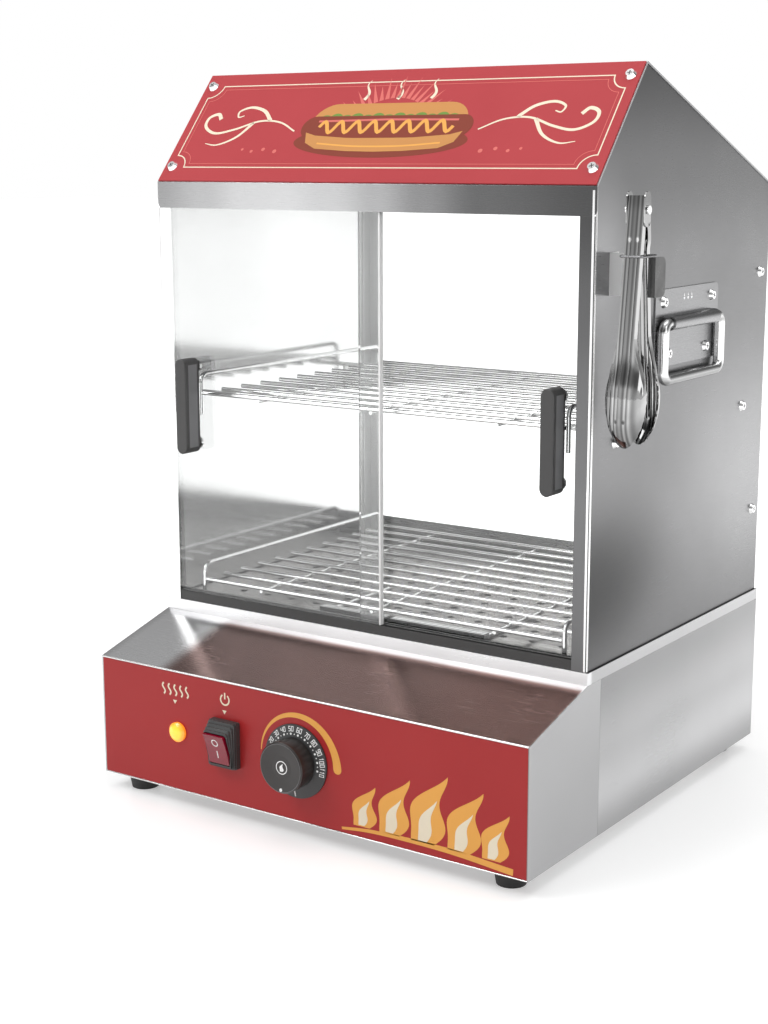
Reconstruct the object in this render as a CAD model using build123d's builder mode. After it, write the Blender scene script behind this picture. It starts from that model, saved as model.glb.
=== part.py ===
"""Counter-top hot dog steamer: a glazed two-tier cabinet on a base that holds the water pan and controls.

Frame: millimetres, X across the front, Y from the front to the back, Z up. The origin is the middle of
the base's footprint, at the level that the rubber feet stand on.
"""

import os
from math import asin, atan2, cos, hypot, radians, sin, sqrt, tan

from build123d import *

os.makedirs("parts", exist_ok=True)

# ---------------------------------------------------------------- driving dimensions (mm)
# base
body_width = 400.0
body_depth = 388.0
foot_height = 13.0
sheet = 1.2                 # stainless sheet of every folded panel
fascia_height = 99.0
slope_run = 81.9            # sloping top of the control housing, front to back
slope_rise = 22.5
housing_length = 102.8      # front face to the seam with the rear shell
seam_gap = 0.3
collar_height = 9.2

# cabinet
cabinet_inset = 1.7         # the cabinet's sides stand in from the base's sides
post_width = 12.0
opening_height = 324.6      # deck collar to header band
header_height = 20.4
ridge_run = 71.9            # header to roof ridge, front to back
ridge_rise = 85.4
rear_eave_drop = 3.1        # the rear eave is this much lower than the front one
roof_overhang = 0.8

# fits
fit = 0.15                  # between fixed pieces that slide together once
running = 0.3               # between pieces that move past each other
bore_clearance = 0.08       # radial, round a turning shaft

# ---------------------------------------------------------------- places that follow from them
half_width = body_width / 2
front_y = -body_depth / 2
rear_y = body_depth / 2
base_z = foot_height
fascia_top_z = base_z + fascia_height
deck_z = fascia_top_z + slope_rise
collar_top_z = deck_z + collar_height
cabinet_front_y = front_y + slope_run
seam_y = front_y + housing_length
cabinet_half = half_width - cabinet_inset
cabinet_inside = cabinet_half - sheet
cabinet_rear_y = rear_y - sheet - 0.1
header_z = collar_top_z + opening_height
eave_z = header_z + header_height
ridge_y = cabinet_front_y + ridge_run
ridge_z = eave_z + ridge_rise
rear_eave_z = eave_z - rear_eave_drop
deck_floor_z = deck_z + sheet


def facing_front(y):
    """Plane at depth y that looks forwards: its x is X and its y is Z."""
    return Plane.XZ.offset(-y)


def finish(piece, name):
    """Label a finished piece and write it to its own file."""
    piece.part.label = name
    export_step(piece.part, f"parts/{name}.step")


# ================================================================ base
slope_angle = atan2(slope_rise, slope_run)
fascia_thickness = 1.0
fascia_flange = 8.0         # return that the fascia is fixed against
front_lip = 15.0            # folded under the fascia's lower edge


def housing_side(reach, inset):
    """Side outline of the control housing; reach carries its open edges outwards, inset shrinks it."""
    with BuildSketch(Plane.YZ) as outline:
        with BuildLine():
            Polyline(
                (front_y - reach, base_z - reach),
                (seam_y + reach, base_z - reach),
                (seam_y + reach, deck_z),
                (cabinet_front_y, deck_z),
                (front_y - reach, fascia_top_z - reach * tan(slope_angle)),
                close=True,
            )
        make_face()
        if inset:
            offset(amount=-inset, kind=Kind.INTERSECTION)
    return outline.sketch


with BuildPart() as control_housing:
    extrude(housing_side(0, 0), amount=half_width, both=True)
    extrude(housing_side(2 * sheet, sheet), amount=half_width - sheet, both=True, mode=Mode.SUBTRACT)
    with BuildSketch(Plane.XY.offset(base_z)):
        with Locations((0, front_y + front_lip / 2)):
            Rectangle(body_width, front_lip)
    extrude(amount=sheet)
    with BuildSketch(facing_front(front_y + fascia_thickness + sheet)):
        flange_top = fascia_top_z - sheet / 4
        with Locations((0, (base_z + flange_top) / 2)):
            Rectangle(body_width - sheet, flange_top - base_z)
            Rectangle(
                body_width - 2 * sheet - 2 * fascia_flange,
                flange_top - base_z - 2 * sheet - 2 * fascia_flange,
                mode=Mode.SUBTRACT,
            )
    extrude(amount=sheet)
finish(control_housing, "control_housing")

# controls on the fascia: x across, height above the base's lower edge
lamp_x, lamp_height = -119.8, 49.1
switch_x, switch_height = -70.3, 49.6
dial_x, dial_height = -2.0, 48.5
lamp_z = base_z + lamp_height
switch_z = base_z + switch_height
dial_z = base_z + dial_height

lamp_body_radius = 6.0
switch_body_width = 22.0
switch_body_height = 33.0
bush_radius = 4.5           # threaded bush of the thermostat
fascia_back_y = front_y + fascia_thickness

with BuildPart() as fascia_panel:
    fascia_bottom = base_z + sheet + fit
    fascia_top = fascia_top_z - sheet / cos(slope_angle) - fit
    with BuildSketch(facing_front(fascia_back_y)):
        with Locations((0, (fascia_bottom + fascia_top) / 2)):
            Rectangle(body_width - 2 * sheet - 2 * fit, fascia_top - fascia_bottom)
        with Locations((lamp_x, lamp_z)):
            Circle(lamp_body_radius + fit, mode=Mode.SUBTRACT)
        with Locations((switch_x, switch_z)):
            Rectangle(switch_body_width + 2 * fit, switch_body_height + 2 * fit, mode=Mode.SUBTRACT)
        with Locations((dial_x, dial_z)):
            Circle(bush_radius + fit, mode=Mode.SUBTRACT)
    extrude(amount=fascia_thickness)
finish(fascia_panel, "fascia_panel")

gland_inset = 60.0          # from the base's left side
gland_height = 34.0
gland_x = gland_inset - half_width
gland_z = base_z + gland_height
gland_thread_radius = 9.5
pan_sheet = 1.0
pan_depth = 56.0
pan_side_margin = 40.0      # base's side to the pan
pan_front_margin = 34.1     # cabinet's front to the pan
pan_rear_margin = 36.0      # base's rear face to the pan
pan_front_y = cabinet_front_y + pan_front_margin
pan_rear_y = rear_y - pan_rear_margin
pan_width = body_width - 2 * pan_side_margin
pan_length = pan_rear_y - pan_front_y
pan_centre_y = (pan_front_y + pan_rear_y) / 2
pan_rim = 12.0
pan_corner = 24.0
pan_floor_bend = 6.0
pan_floor_z = deck_floor_z + pan_sheet - pan_depth
drain_inset = 40.0          # from the pan's right side
drain_x = pan_width / 2 - drain_inset
drain_height = 11.0         # axis above the pan's floor
drain_z = pan_floor_z + pan_sheet + drain_height
drain_radius = 8.0
vent_length = 46.0
vent_width = 4.0
vent_pitch_x = 64.4
vent_pitch = 12.0           # between the rows of vents
wall_vent_count = 2         # in each row of the rear wall
floor_vent_count = 3
vent_row_count = 4

with BuildPart() as base_shell:
    shell_length = rear_y - seam_y - seam_gap
    shell_centre = (rear_y + seam_y + seam_gap) / 2
    with BuildSketch(Plane.XY.offset(base_z)):
        with Locations((0, shell_centre)):
            Rectangle(body_width, shell_length)
        with Locations((0, shell_centre - sheet)):
            Rectangle(body_width - 2 * sheet, shell_length, mode=Mode.SUBTRACT)
    extrude(amount=deck_z - base_z)
    with BuildSketch(Plane.XY.offset(deck_z - sheet)):
        with Locations((0, shell_centre)):
            Rectangle(body_width, shell_length)
        with Locations((0, shell_centre - pan_rim)):
            Rectangle(body_width - 2 * pan_rim, shell_length, mode=Mode.SUBTRACT)
    extrude(amount=sheet)
    with BuildSketch(facing_front(rear_y)):
        with Locations((gland_x, gland_z)):
            Circle(gland_thread_radius + fit)
        with Locations((drain_x, drain_z)):
            Circle(drain_radius + fit)
        with Locations((0, base_z + fascia_height / 2)):
            with GridLocations(vent_pitch_x, vent_pitch, wall_vent_count, vent_row_count):
                SlotOverall(vent_length, vent_width)
    extrude(amount=sheet, mode=Mode.SUBTRACT)
finish(base_shell, "base_shell")

foot_inset_x = 25.0
foot_inset_y = 20.0
foot_top_radius = 13.5
foot_bottom_radius = 11.0
foot_recess_radius = 5.5
foot_recess_depth = 5.5
foot_screw_radius = 2.4
foot_head_radius = 4.4
foot_head_height = 2.8
foot_screw_reach = 4.8      # above the bottom plate's underside
plate_rim = 12.0
plate_front_y = front_y + front_lip
foot_places = [
    (side * (half_width - foot_inset_x), end * (body_depth / 2 - foot_inset_y))
    for side in (-1, 1)
    for end in (-1, 1)
]

with BuildPart() as bottom_plate:
    plate_length = rear_y - sheet - plate_front_y
    plate_centre = (rear_y - sheet + plate_front_y) / 2
    with BuildSketch(Plane.XY.offset(base_z)):
        with Locations((0, plate_centre)):
            Rectangle(body_width - 2 * sheet, plate_length)
        with Locations(*foot_places):
            Circle(foot_screw_radius + fit, mode=Mode.SUBTRACT)
        with Locations((0, plate_centre)):
            with GridLocations(vent_pitch_x, vent_pitch, floor_vent_count, vent_row_count):
                SlotOverall(vent_length, vent_width, mode=Mode.SUBTRACT)
    extrude(amount=sheet)
    with BuildSketch(Plane.XY.offset(base_z)):
        with Locations((0, plate_centre)):
            Rectangle(body_width - 2 * sheet, plate_length)
            Rectangle(body_width - 4 * sheet, plate_length - 2 * sheet, mode=Mode.SUBTRACT)
    extrude(amount=plate_rim)
finish(bottom_plate, "bottom_plate")

with BuildPart() as rubber_feet:
    with Locations(*[(x, y, 0) for x, y in foot_places]):
        Cone(
            foot_bottom_radius,
            foot_top_radius,
            foot_height,
            align=(Align.CENTER, Align.CENTER, Align.MIN),
        )
    with BuildSketch(Plane.XY):
        with Locations(*foot_places):
            Circle(foot_recess_radius)
    extrude(amount=foot_recess_depth, mode=Mode.SUBTRACT)
    with BuildSketch(Plane.XY):
        with Locations(*foot_places):
            Circle(foot_screw_radius + fit)
    extrude(amount=foot_height, mode=Mode.SUBTRACT)
finish(rubber_feet, "rubber_feet")

with BuildPart() as foot_screws:
    with BuildSketch(Plane.XY.offset(foot_recess_depth - foot_head_height)):
        with Locations(*foot_places):
            Circle(foot_head_radius)
    extrude(amount=foot_head_height)
    with BuildSketch(Plane.XY.offset(foot_recess_depth)):
        with Locations(*foot_places):
            Circle(foot_screw_radius)
    extrude(amount=foot_height - foot_recess_depth + foot_screw_reach)
finish(foot_screws, "foot_screws")

# deck that closes the base and carries the cabinet, with a raised collar and a front sill
sill_depth = 14.6
deck_length = rear_y - cabinet_front_y
deck_centre = (rear_y + cabinet_front_y) / 2

with BuildPart() as deck_plate:
    with BuildSketch(Plane.XY.offset(deck_z)):
        with Locations((0, deck_centre)):
            Rectangle(body_width, deck_length)
        with Locations((0, pan_centre_y)):
            RectangleRounded(pan_width + 2 * fit, pan_length + 2 * fit, pan_corner, mode=Mode.SUBTRACT)
    extrude(amount=sheet)
    with BuildSketch(Plane.XY.offset(deck_z)):
        with Locations((0, deck_centre)):
            Rectangle(body_width, deck_length)
            Rectangle(body_width - 2 * sheet, deck_length - 2 * sheet, mode=Mode.SUBTRACT)
    extrude(amount=collar_height)
    with BuildSketch(Plane.XY.offset(collar_top_z - sheet)):
        with Locations((0, cabinet_front_y + sill_depth / 2)):
            Rectangle(body_width - 2 * cabinet_inset - 2 * sheet - 2 * fit, sill_depth)
    extrude(amount=sheet)
finish(deck_plate, "deck_plate")

# water pan with the heating element over its floor
element_radius = 4.0
element_height = 14.0       # axis above the pan's floor
element_z = pan_floor_z + pan_sheet + element_height
element_leg_x = 26.0
element_side_margin = 48.0  # pan's side to the element's side runs
element_reach_x = pan_width / 2 - element_side_margin
element_bend = 18.0
element_margin = 42.0       # pan's end wall to the element's cross runs
probe_radius = 3.2
probe_x = 62.0
probe_rise = 8.0            # above the element
probe_z = element_z + probe_rise
capillary_radius = 1.2
capillary_run = 30.0        # pan's front wall to the run across
capillary_bend = 8.0


def pan_basin(skin):
    """Solid that fills the pan, skin inside its outer faces, with a rounded floor edge."""
    with BuildPart() as basin:
        with BuildSketch(Plane.XY.offset(pan_floor_z + skin)):
            with Locations((0, pan_centre_y)):
                RectangleRounded(pan_width - 2 * skin, pan_length - 2 * skin, pan_corner - skin)
        extrude(amount=pan_depth)
        fillet(basin.faces().sort_by(Axis.Z)[0].edges(), radius=pan_floor_bend - skin)
    return basin.part


with BuildPart() as water_pan:
    add(pan_basin(0))
    with BuildSketch(Plane.XY.offset(deck_floor_z)):
        with Locations((0, pan_centre_y)):
            RectangleRounded(pan_width + 2 * pan_rim, pan_length + 2 * pan_rim, pan_corner)
    extrude(amount=pan_sheet)
    add(pan_basin(pan_sheet), mode=Mode.SUBTRACT)
    with BuildSketch(facing_front(pan_front_y + 2 * pan_sheet)):
        with Locations((-element_leg_x, element_z), (element_leg_x, element_z)):
            Circle(element_radius + fit)
        with Locations((probe_x, probe_z)):
            Circle(probe_radius + fit)
    extrude(amount=4 * pan_sheet, mode=Mode.SUBTRACT)
    with BuildSketch(facing_front(pan_rear_y + 2 * pan_sheet)):
        with Locations((drain_x, drain_z)):
            Circle(drain_radius + fit)
    extrude(amount=4 * pan_sheet, mode=Mode.SUBTRACT)
finish(water_pan, "water_pan")

element_tail = 16.0         # terminals in front of the pan

with BuildPart() as heating_element:
    with BuildLine() as element_path:
        near_y = pan_front_y + element_margin
        far_y = pan_rear_y - element_margin
        tail_y = pan_front_y - element_tail
        FilletPolyline(
            (-element_leg_x, tail_y, element_z),
            (-element_leg_x, near_y, element_z),
            (-element_reach_x, near_y, element_z),
            (-element_reach_x, far_y, element_z),
            (element_reach_x, far_y, element_z),
            (element_reach_x, near_y, element_z),
            (element_leg_x, near_y, element_z),
            (element_leg_x, tail_y, element_z),
            radius=element_bend,
        )
    with BuildSketch(Plane(origin=element_path.line @ 0, z_dir=element_path.line % 0)):
        Circle(element_radius)
    sweep()
finish(heating_element, "heating_element")

nut_flats = 15.0
nut_thickness = 5.0

with BuildPart() as heater_nuts:
    with BuildSketch(facing_front(pan_front_y)):
        with Locations((-element_leg_x, element_z), (element_leg_x, element_z)):
            RegularPolygon(nut_flats / 2, 6, major_radius=False)
            Circle(element_radius + fit, mode=Mode.SUBTRACT)
    extrude(amount=nut_thickness)
finish(heater_nuts, "heater_nuts")

# thermostat behind the dial, its capillary and its bulb in the pan
thermostat_width = 34.0
thermostat_height = 30.0
thermostat_length = 26.0
thermostat_corner = 4.0
bush_length = 6.0
shaft_radius = 3.0
thermostat_back_y = fascia_back_y + thermostat_length
bulb_length = 60.0

with BuildPart() as thermostat_body:
    with BuildSketch(facing_front(thermostat_back_y)):
        with Locations((dial_x, dial_z)):
            Rectangle(thermostat_width, thermostat_height)
    extrude(amount=thermostat_length)
    fillet(thermostat_body.edges().filter_by(Axis.Y), radius=thermostat_corner)
    with BuildSketch(facing_front(fascia_back_y)):
        with Locations((dial_x, dial_z)):
            Circle(bush_radius)
    extrude(amount=bush_length)
    with BuildSketch(facing_front(fascia_back_y + thermostat_length / 2)):
        with Locations((dial_x, dial_z)):
            Circle(shaft_radius + bore_clearance)
    extrude(amount=thermostat_length, mode=Mode.SUBTRACT)
finish(thermostat_body, "thermostat_body")

with BuildPart() as temperature_probe:
    with BuildSketch(facing_front(pan_front_y + bulb_length)):
        with Locations((probe_x, probe_z)):
            Circle(probe_radius)
    extrude(amount=bulb_length + nut_thickness)
    with BuildLine() as capillary_path:
        FilletPolyline(
            (probe_x, pan_front_y - nut_thickness, probe_z),
            (probe_x, pan_front_y - capillary_run, probe_z),
            (dial_x, pan_front_y - capillary_run, dial_z),
            (dial_x, thermostat_back_y, dial_z),
            radius=capillary_bend,
        )
    with BuildSketch(Plane(origin=capillary_path.line @ 0, z_dir=capillary_path.line % 0)):
        Circle(capillary_radius)
    sweep()
finish(temperature_probe, "temperature_probe")

block_length = 54.0
block_width = 20.0
block_height = 14.0
block_x = 80.0 - half_width
block_y = rear_y - 44.0
block_poles = 4
pole_rib = 3.0              # wall left between two poles
pole_screw_radius = 2.2
pole_screw_height = 2.0

with BuildPart() as terminal_block:
    block_base_z = base_z + sheet
    pole_pitch = block_length / block_poles
    with BuildSketch(Plane.XY.offset(block_base_z)):
        with Locations((block_x, block_y)):
            Rectangle(block_length, block_width)
    extrude(amount=block_height)
    with BuildSketch(Plane.XY.offset(block_base_z + block_height / 2)):
        with Locations((block_x, block_y)):
            with GridLocations(pole_pitch, block_width / 2 + pole_rib, block_poles, 2):
                Rectangle(pole_pitch - pole_rib, block_width / 2 - pole_rib)
    extrude(amount=block_height, mode=Mode.SUBTRACT)
    with BuildSketch(Plane.XY.offset(block_base_z + block_height / 2)):
        with Locations((block_x, block_y)):
            with GridLocations(pole_pitch, block_width / 2 + pole_rib, block_poles, 2):
                RegularPolygon(pole_screw_radius, 8)
    extrude(amount=pole_screw_height)
finish(terminal_block, "terminal_block")

gland_bore_radius = 4.2
gland_nut_radius = 12.5
gland_nut_depth = 5.0
gland_dome_depth = 13.0
gland_dome_radius = 10.5
gland_dome_taper = 16.0     # degrees
gland_tail = 9.0

with BuildPart() as cord_gland:
    with BuildSketch(facing_front(rear_y - sheet)):
        with Locations((gland_x, gland_z)):
            RegularPolygon(gland_nut_radius, 6)
    extrude(amount=gland_nut_depth)
    with BuildSketch(facing_front(rear_y)):
        with Locations((gland_x, gland_z)):
            Circle(gland_thread_radius)
    extrude(amount=gland_tail)
    with BuildSketch(facing_front(rear_y + gland_nut_depth)):
        with Locations((gland_x, gland_z)):
            RegularPolygon(gland_nut_radius, 6)
    extrude(amount=gland_nut_depth)
    with BuildSketch(facing_front(rear_y + gland_nut_depth)):
        with Locations((gland_x, gland_z)):
            Circle(gland_dome_radius)
    extrude(amount=-(gland_dome_depth - gland_nut_depth), taper=gland_dome_taper)
    with BuildSketch(facing_front(rear_y + gland_dome_depth)):
        with Locations((gland_x, gland_z)):
            Circle(gland_bore_radius)
    extrude(amount=gland_dome_depth + gland_tail, mode=Mode.SUBTRACT)
finish(cord_gland, "cord_gland")

# drain tap through the rear wall: a barrel with its spindle, a hose spigot and a lever on top
tap_nut_thickness = 4.0
tap_nut_radius = 12.0
tap_barrel_radius = 9.0
tap_barrel_drop = 10.0      # barrel's lower end below the axis
tap_top = 13.0              # lever's seat above the axis
tap_seat = 12.0             # barrel's axis behind the rear wall
tap_neck = 1.0              # full-size pipe behind the barrel
spigot_radius = 6.5
spigot_length = 12.0
spindle_radius = 3.0
spindle_depth = 5.0
drain_bore_radius = 4.5
lever_length = 34.0
lever_width = 9.0
lever_thickness = 3.0
tap_seat_y = rear_y + tap_seat
neck_end_y = tap_seat_y + tap_barrel_radius + tap_neck
spigot_end_y = neck_end_y + spigot_length
drain_start_y = pan_rear_y - 2 * pan_sheet

with BuildPart() as drain_tap_body:
    with BuildSketch(facing_front(neck_end_y)):
        with Locations((drain_x, drain_z)):
            Circle(drain_radius)
    extrude(amount=neck_end_y - drain_start_y)
    with BuildSketch(facing_front(spigot_end_y)):
        with Locations((drain_x, drain_z)):
            Circle(spigot_radius)
    extrude(amount=spigot_length)
    with BuildSketch(facing_front(rear_y + tap_nut_thickness)):
        with Locations((drain_x, drain_z)):
            RegularPolygon(tap_nut_radius, 6)
    extrude(amount=tap_nut_thickness)
    with BuildSketch(Plane.XY.offset(drain_z - tap_barrel_drop)):
        with Locations((drain_x, tap_seat_y)):
            Circle(tap_barrel_radius)
    extrude(amount=tap_barrel_drop + tap_top)
    with BuildSketch(facing_front(spigot_end_y)):
        with Locations((drain_x, drain_z)):
            Circle(drain_bore_radius)
    extrude(amount=spigot_end_y - drain_start_y, mode=Mode.SUBTRACT)
    with BuildSketch(Plane.XY.offset(drain_z + tap_top - spindle_depth)):
        with Locations((drain_x, tap_seat_y)):
            Circle(spindle_radius + bore_clearance)
    extrude(amount=spindle_depth, mode=Mode.SUBTRACT)
finish(drain_tap_body, "drain_tap_body")

with BuildPart() as drain_lever:
    lever_z = drain_z + tap_top + running
    with BuildSketch(Plane.XY.offset(lever_z)):
        with Locations((drain_x + (lever_length - lever_width) / 2, tap_seat_y)):
            SlotOverall(lever_length, lever_width)
    extrude(amount=lever_thickness)
    with BuildSketch(Plane.XY.offset(lever_z)):
        with Locations((drain_x, tap_seat_y)):
            Circle(spindle_radius)
    extrude(amount=running - spindle_depth)
finish(drain_lever, "drain_lever")


# ================================================================ cabinet
def cabinet_outline(reach, inset, across=0.0):
    """Outline of the roof and its two eaves, seen from the side; reach lowers its open edge."""
    with BuildSketch(Plane.YZ.offset(across)) as outline:
        with BuildLine():
            Polyline(
                (cabinet_front_y, header_z - reach),
                (cabinet_rear_y, header_z - reach),
                (cabinet_rear_y, rear_eave_z),
                (ridge_y, ridge_z),
                (cabinet_front_y, eave_z),
                close=True,
            )
        make_face()
        if inset:
            offset(amount=-inset, kind=Kind.INTERSECTION)
    return outline.sketch


roof_half = cabinet_half + roof_overhang
header_corner = 4.0

with BuildPart() as roof_shell:
    extrude(cabinet_outline(0, 0), amount=roof_half, both=True)
    extrude(cabinet_outline(2 * sheet, sheet), amount=roof_half, both=True, mode=Mode.SUBTRACT)
    header_corners = roof_shell.edges().filter_by(Axis.Y).group_by(Axis.Z)[0].group_by(Axis.Y)[0]
    fillet(header_corners, radius=header_corner)
finish(roof_shell, "roof_shell")

# fixed glazing at the rear, from the posts' flanges inwards
glass_thickness = 4.0
gasket_thickness = 2.0
gasket_width = 9.0
rear_frame_face = 11.0
rear_frame_return = 12.0
rear_flange_y = cabinet_rear_y - sheet
rear_glass_y = rear_flange_y - gasket_thickness
rear_frame_y = rear_glass_y - glass_thickness

# brackets of the bun shelf
wire_radius = 1.8
shelf_height = 305.0        # shelf wires above the base's lower edge
bracket_width = 18.0
bracket_leg = 22.0
bracket_screw_drop = 8.9    # below the bracket's top
bracket_top_z = base_z + shelf_height - wire_radius - running
bracket_depth = 119.0       # front bracket behind the fascia
bracket_rear_inset = 42.7
bracket_places = (front_y + bracket_depth, cabinet_rear_y - bracket_rear_inset)

# side hardware: heights above the base's lower edge, depths from the front face
panel_screw_radius = 2.0
rear_frame_screws = ((8.5, 402.0), (6.5, 203.0))    # inside the rear frame's face, and height
handle_depth = 232.0
handle_height = 370.0
handle_plate_length = 110.0
handle_plate_height = 58.0
handle_plate_corner = 5.0
handle_screw_rows = ((42.3, 19.4), (33.0, -19.3))   # half spacing and height from the plate's centre
handle_y = front_y + handle_depth
handle_z = base_z + handle_height
bracket_screw_places = [(y, bracket_top_z - bracket_screw_drop) for y in bracket_places]
frame_screw_places = [(rear_frame_y - inset, base_z + height) for inset, height in rear_frame_screws]
handle_screw_places = [
    (handle_y + end * half, handle_z + rise) for half, rise in handle_screw_rows for end in (-1, 1)
]

with BuildPart() as right_side_panel:
    panel_length = cabinet_rear_y - cabinet_front_y
    panel_centre = (cabinet_rear_y + cabinet_front_y) / 2
    extrude(cabinet_outline(2 * sheet, sheet, cabinet_inside), amount=sheet)
    with BuildSketch(Plane.YZ.offset(cabinet_inside)):
        with Locations((panel_centre, (deck_floor_z + header_z) / 2)):
            Rectangle(panel_length, header_z - deck_floor_z)
        with Locations((cabinet_front_y, deck_z)):
            Rectangle(2 * (sheet + fit), 2 * collar_height, mode=Mode.SUBTRACT)
    extrude(amount=sheet)
    with BuildSketch(Plane.YZ.offset(cabinet_inside)):
        with Locations(*(bracket_screw_places + frame_screw_places + handle_screw_places)):
            Circle(panel_screw_radius + fit)
    extrude(amount=sheet, mode=Mode.SUBTRACT)
    with BuildSketch(facing_front(cabinet_front_y + sheet)):
        with Locations((cabinet_half - post_width / 2, (collar_top_z + header_z) / 2)):
            Rectangle(post_width, header_z - collar_top_z)
    extrude(amount=sheet)
    with BuildSketch(facing_front(cabinet_rear_y)):
        with Locations((cabinet_half - post_width / 2, (deck_floor_z + header_z) / 2)):
            Rectangle(post_width, header_z - deck_floor_z)
    extrude(amount=sheet)
finish(right_side_panel, "right_side_panel")

with BuildPart() as left_side_panel:
    mirror(right_side_panel.part, about=Plane.YZ)
finish(left_side_panel, "left_side_panel")

# sign plate on the front slope of the roof
slope_length = hypot(ridge_run, ridge_rise)
slope_plane = Plane(
    origin=(0, cabinet_front_y, eave_z),
    x_dir=(1, 0, 0),
    z_dir=(0, -ridge_rise / slope_length, ridge_run / slope_length),
)
sign_thickness = 1.0
sign_margin = 0.8
sign_screw_inset = 7.7      # from the sign's side edge
sign_screw_rows = (15.0, 98.5)  # up the slope from the eave
screw_head_radius = 4.5
screw_head_height = 2.6
screw_head_taper = 28.0     # degrees
sign_screw_places = [
    (side * (cabinet_half - sign_screw_inset), row) for row in sign_screw_rows for side in (-1, 1)
]

with BuildPart() as sign_plate:
    with BuildSketch(slope_plane):
        with Locations((0, slope_length / 2)):
            Rectangle(2 * cabinet_half, slope_length - 2 * sign_margin)
        with Locations(*sign_screw_places):
            Circle(panel_screw_radius + fit, mode=Mode.SUBTRACT)
    extrude(amount=sign_thickness)
finish(sign_plate, "sign_plate")


def dome_screws(plane, places, shank):
    """Dome-headed screws standing on a plane, each with its shank behind it."""
    with BuildPart() as screws:
        with BuildSketch(plane):
            with Locations(*places):
                Circle(screw_head_radius)
        extrude(amount=screw_head_height, taper=screw_head_taper)
        with BuildSketch(plane):
            with Locations(*places):
                Circle(panel_screw_radius)
        extrude(amount=-shank)
    return screws.part


with BuildPart() as sign_screws:
    add(dome_screws(slope_plane.offset(sign_thickness), sign_screw_places, sign_thickness))
finish(sign_screws, "sign_screws")

# rear window: gasket and glass held between the posts and a frame inside them
window_lap = 10.0           # behind the roof's rear band
window_bottom_z = deck_floor_z + fit
window_top_z = header_z + window_lap
window_centre_z = (window_bottom_z + window_top_z) / 2
window_height = window_top_z - window_bottom_z
window_width = 2 * (cabinet_inside - fit)


def window_ring(border):
    """Flat ring that follows the rear window's edge."""
    with Locations((0, window_centre_z)):
        Rectangle(window_width, window_height)
        Rectangle(window_width - 2 * border, window_height - 2 * border, mode=Mode.SUBTRACT)


with BuildPart() as rear_gasket:
    with BuildSketch(facing_front(rear_flange_y)):
        window_ring(gasket_width)
    extrude(amount=gasket_thickness)
finish(rear_gasket, "rear_gasket")

with BuildPart() as rear_glass:
    with BuildSketch(facing_front(rear_glass_y)):
        with Locations((0, window_centre_z)):
            Rectangle(window_width, window_height)
    extrude(amount=glass_thickness)
finish(rear_glass, "rear_glass")

with BuildPart() as rear_frame:
    with BuildSketch(facing_front(rear_frame_y)):
        window_ring(rear_frame_face)
    extrude(amount=sheet)
    with BuildSketch(facing_front(rear_frame_y)):
        window_ring(sheet)
    extrude(amount=rear_frame_return)
finish(rear_frame, "rear_frame")

sill_height = 20.0          # above the collar

with BuildPart() as rear_sill:
    with BuildSketch(facing_front(cabinet_rear_y)):
        sill_top = collar_top_z + sill_height
        with Locations((0, (deck_floor_z + sill_top) / 2)):
            Rectangle(2 * (cabinet_half - post_width), sill_top - deck_floor_z)
    extrude(amount=sheet)
finish(rear_sill, "rear_sill")

# ================================================================ sliding doors
pane_setback = 2.0          # cabinet's front to the outer pane
pane_pitch = 6.5            # outer pane to the inner pane
left_pane_y = cabinet_front_y + pane_setback
right_pane_y = left_pane_y + pane_pitch
pane_stop = 1.5             # pane's outer edge to the side panel
outer_edge = cabinet_inside - pane_stop
left_pane_edge = 16.0       # meeting edges: the outer pane laps over the inner one
right_pane_edge = -5.9
track_height = 7.5
track_floor = 2.0
track_wall = 2.0
top_track_height = 14.0
top_engagement = 6.0        # pane above the header's lower edge
track_front_y = cabinet_front_y + sheet
track_back_y = right_pane_y + glass_thickness + track_wall
pane_bottom_z = collar_top_z + track_floor + running
pane_top_z = header_z + top_engagement
pane_height = pane_top_z - pane_bottom_z
pane_centre_z = (pane_bottom_z + pane_top_z) / 2


def track(bottom_z, height, groove_z, groove_depth):
    """Extruded channel with a groove for each pane."""
    depth = track_back_y - track_front_y
    with BuildPart() as piece:
        with BuildSketch(Plane.YZ):
            with Locations((track_front_y + depth / 2, bottom_z + height / 2)):
                Rectangle(depth, height)
            for pane_y in (left_pane_y, right_pane_y):
                with Locations((pane_y + glass_thickness / 2, groove_z + groove_depth / 2)):
                    Rectangle(glass_thickness + 2 * running, groove_depth, mode=Mode.SUBTRACT)
        extrude(amount=cabinet_inside - fit, both=True)
    return piece.part


with BuildPart() as bottom_door_track:
    add(track(collar_top_z, track_height, collar_top_z + track_floor, track_height))
finish(bottom_door_track, "bottom_door_track")

with BuildPart() as top_door_track:
    add(track(header_z, top_track_height, header_z, top_track_height - track_floor))
finish(top_door_track, "top_door_track")

handle_inset = 28.1         # from the pane's outer edge
handle_x = outer_edge - handle_inset
door_handle_length = 77.5
door_handle_width = 11.0
door_handle_reach = 17.0
door_handle_chamfer = 0.8
door_handle_height = 296.8  # centre above the base's lower edge
door_screw_spacing = 63.0
door_screw_radius = 2.2
door_screw_grip = 6.0       # into the handle
door_screw_room = 2.5       # hole beyond the screw's tip
door_screw_head_radius = 5.0
door_screw_head_height = 2.2
door_handle_z = base_z + door_handle_height
door_screw_heights = [door_handle_z + end * door_screw_spacing / 2 for end in (-1, 1)]


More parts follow.
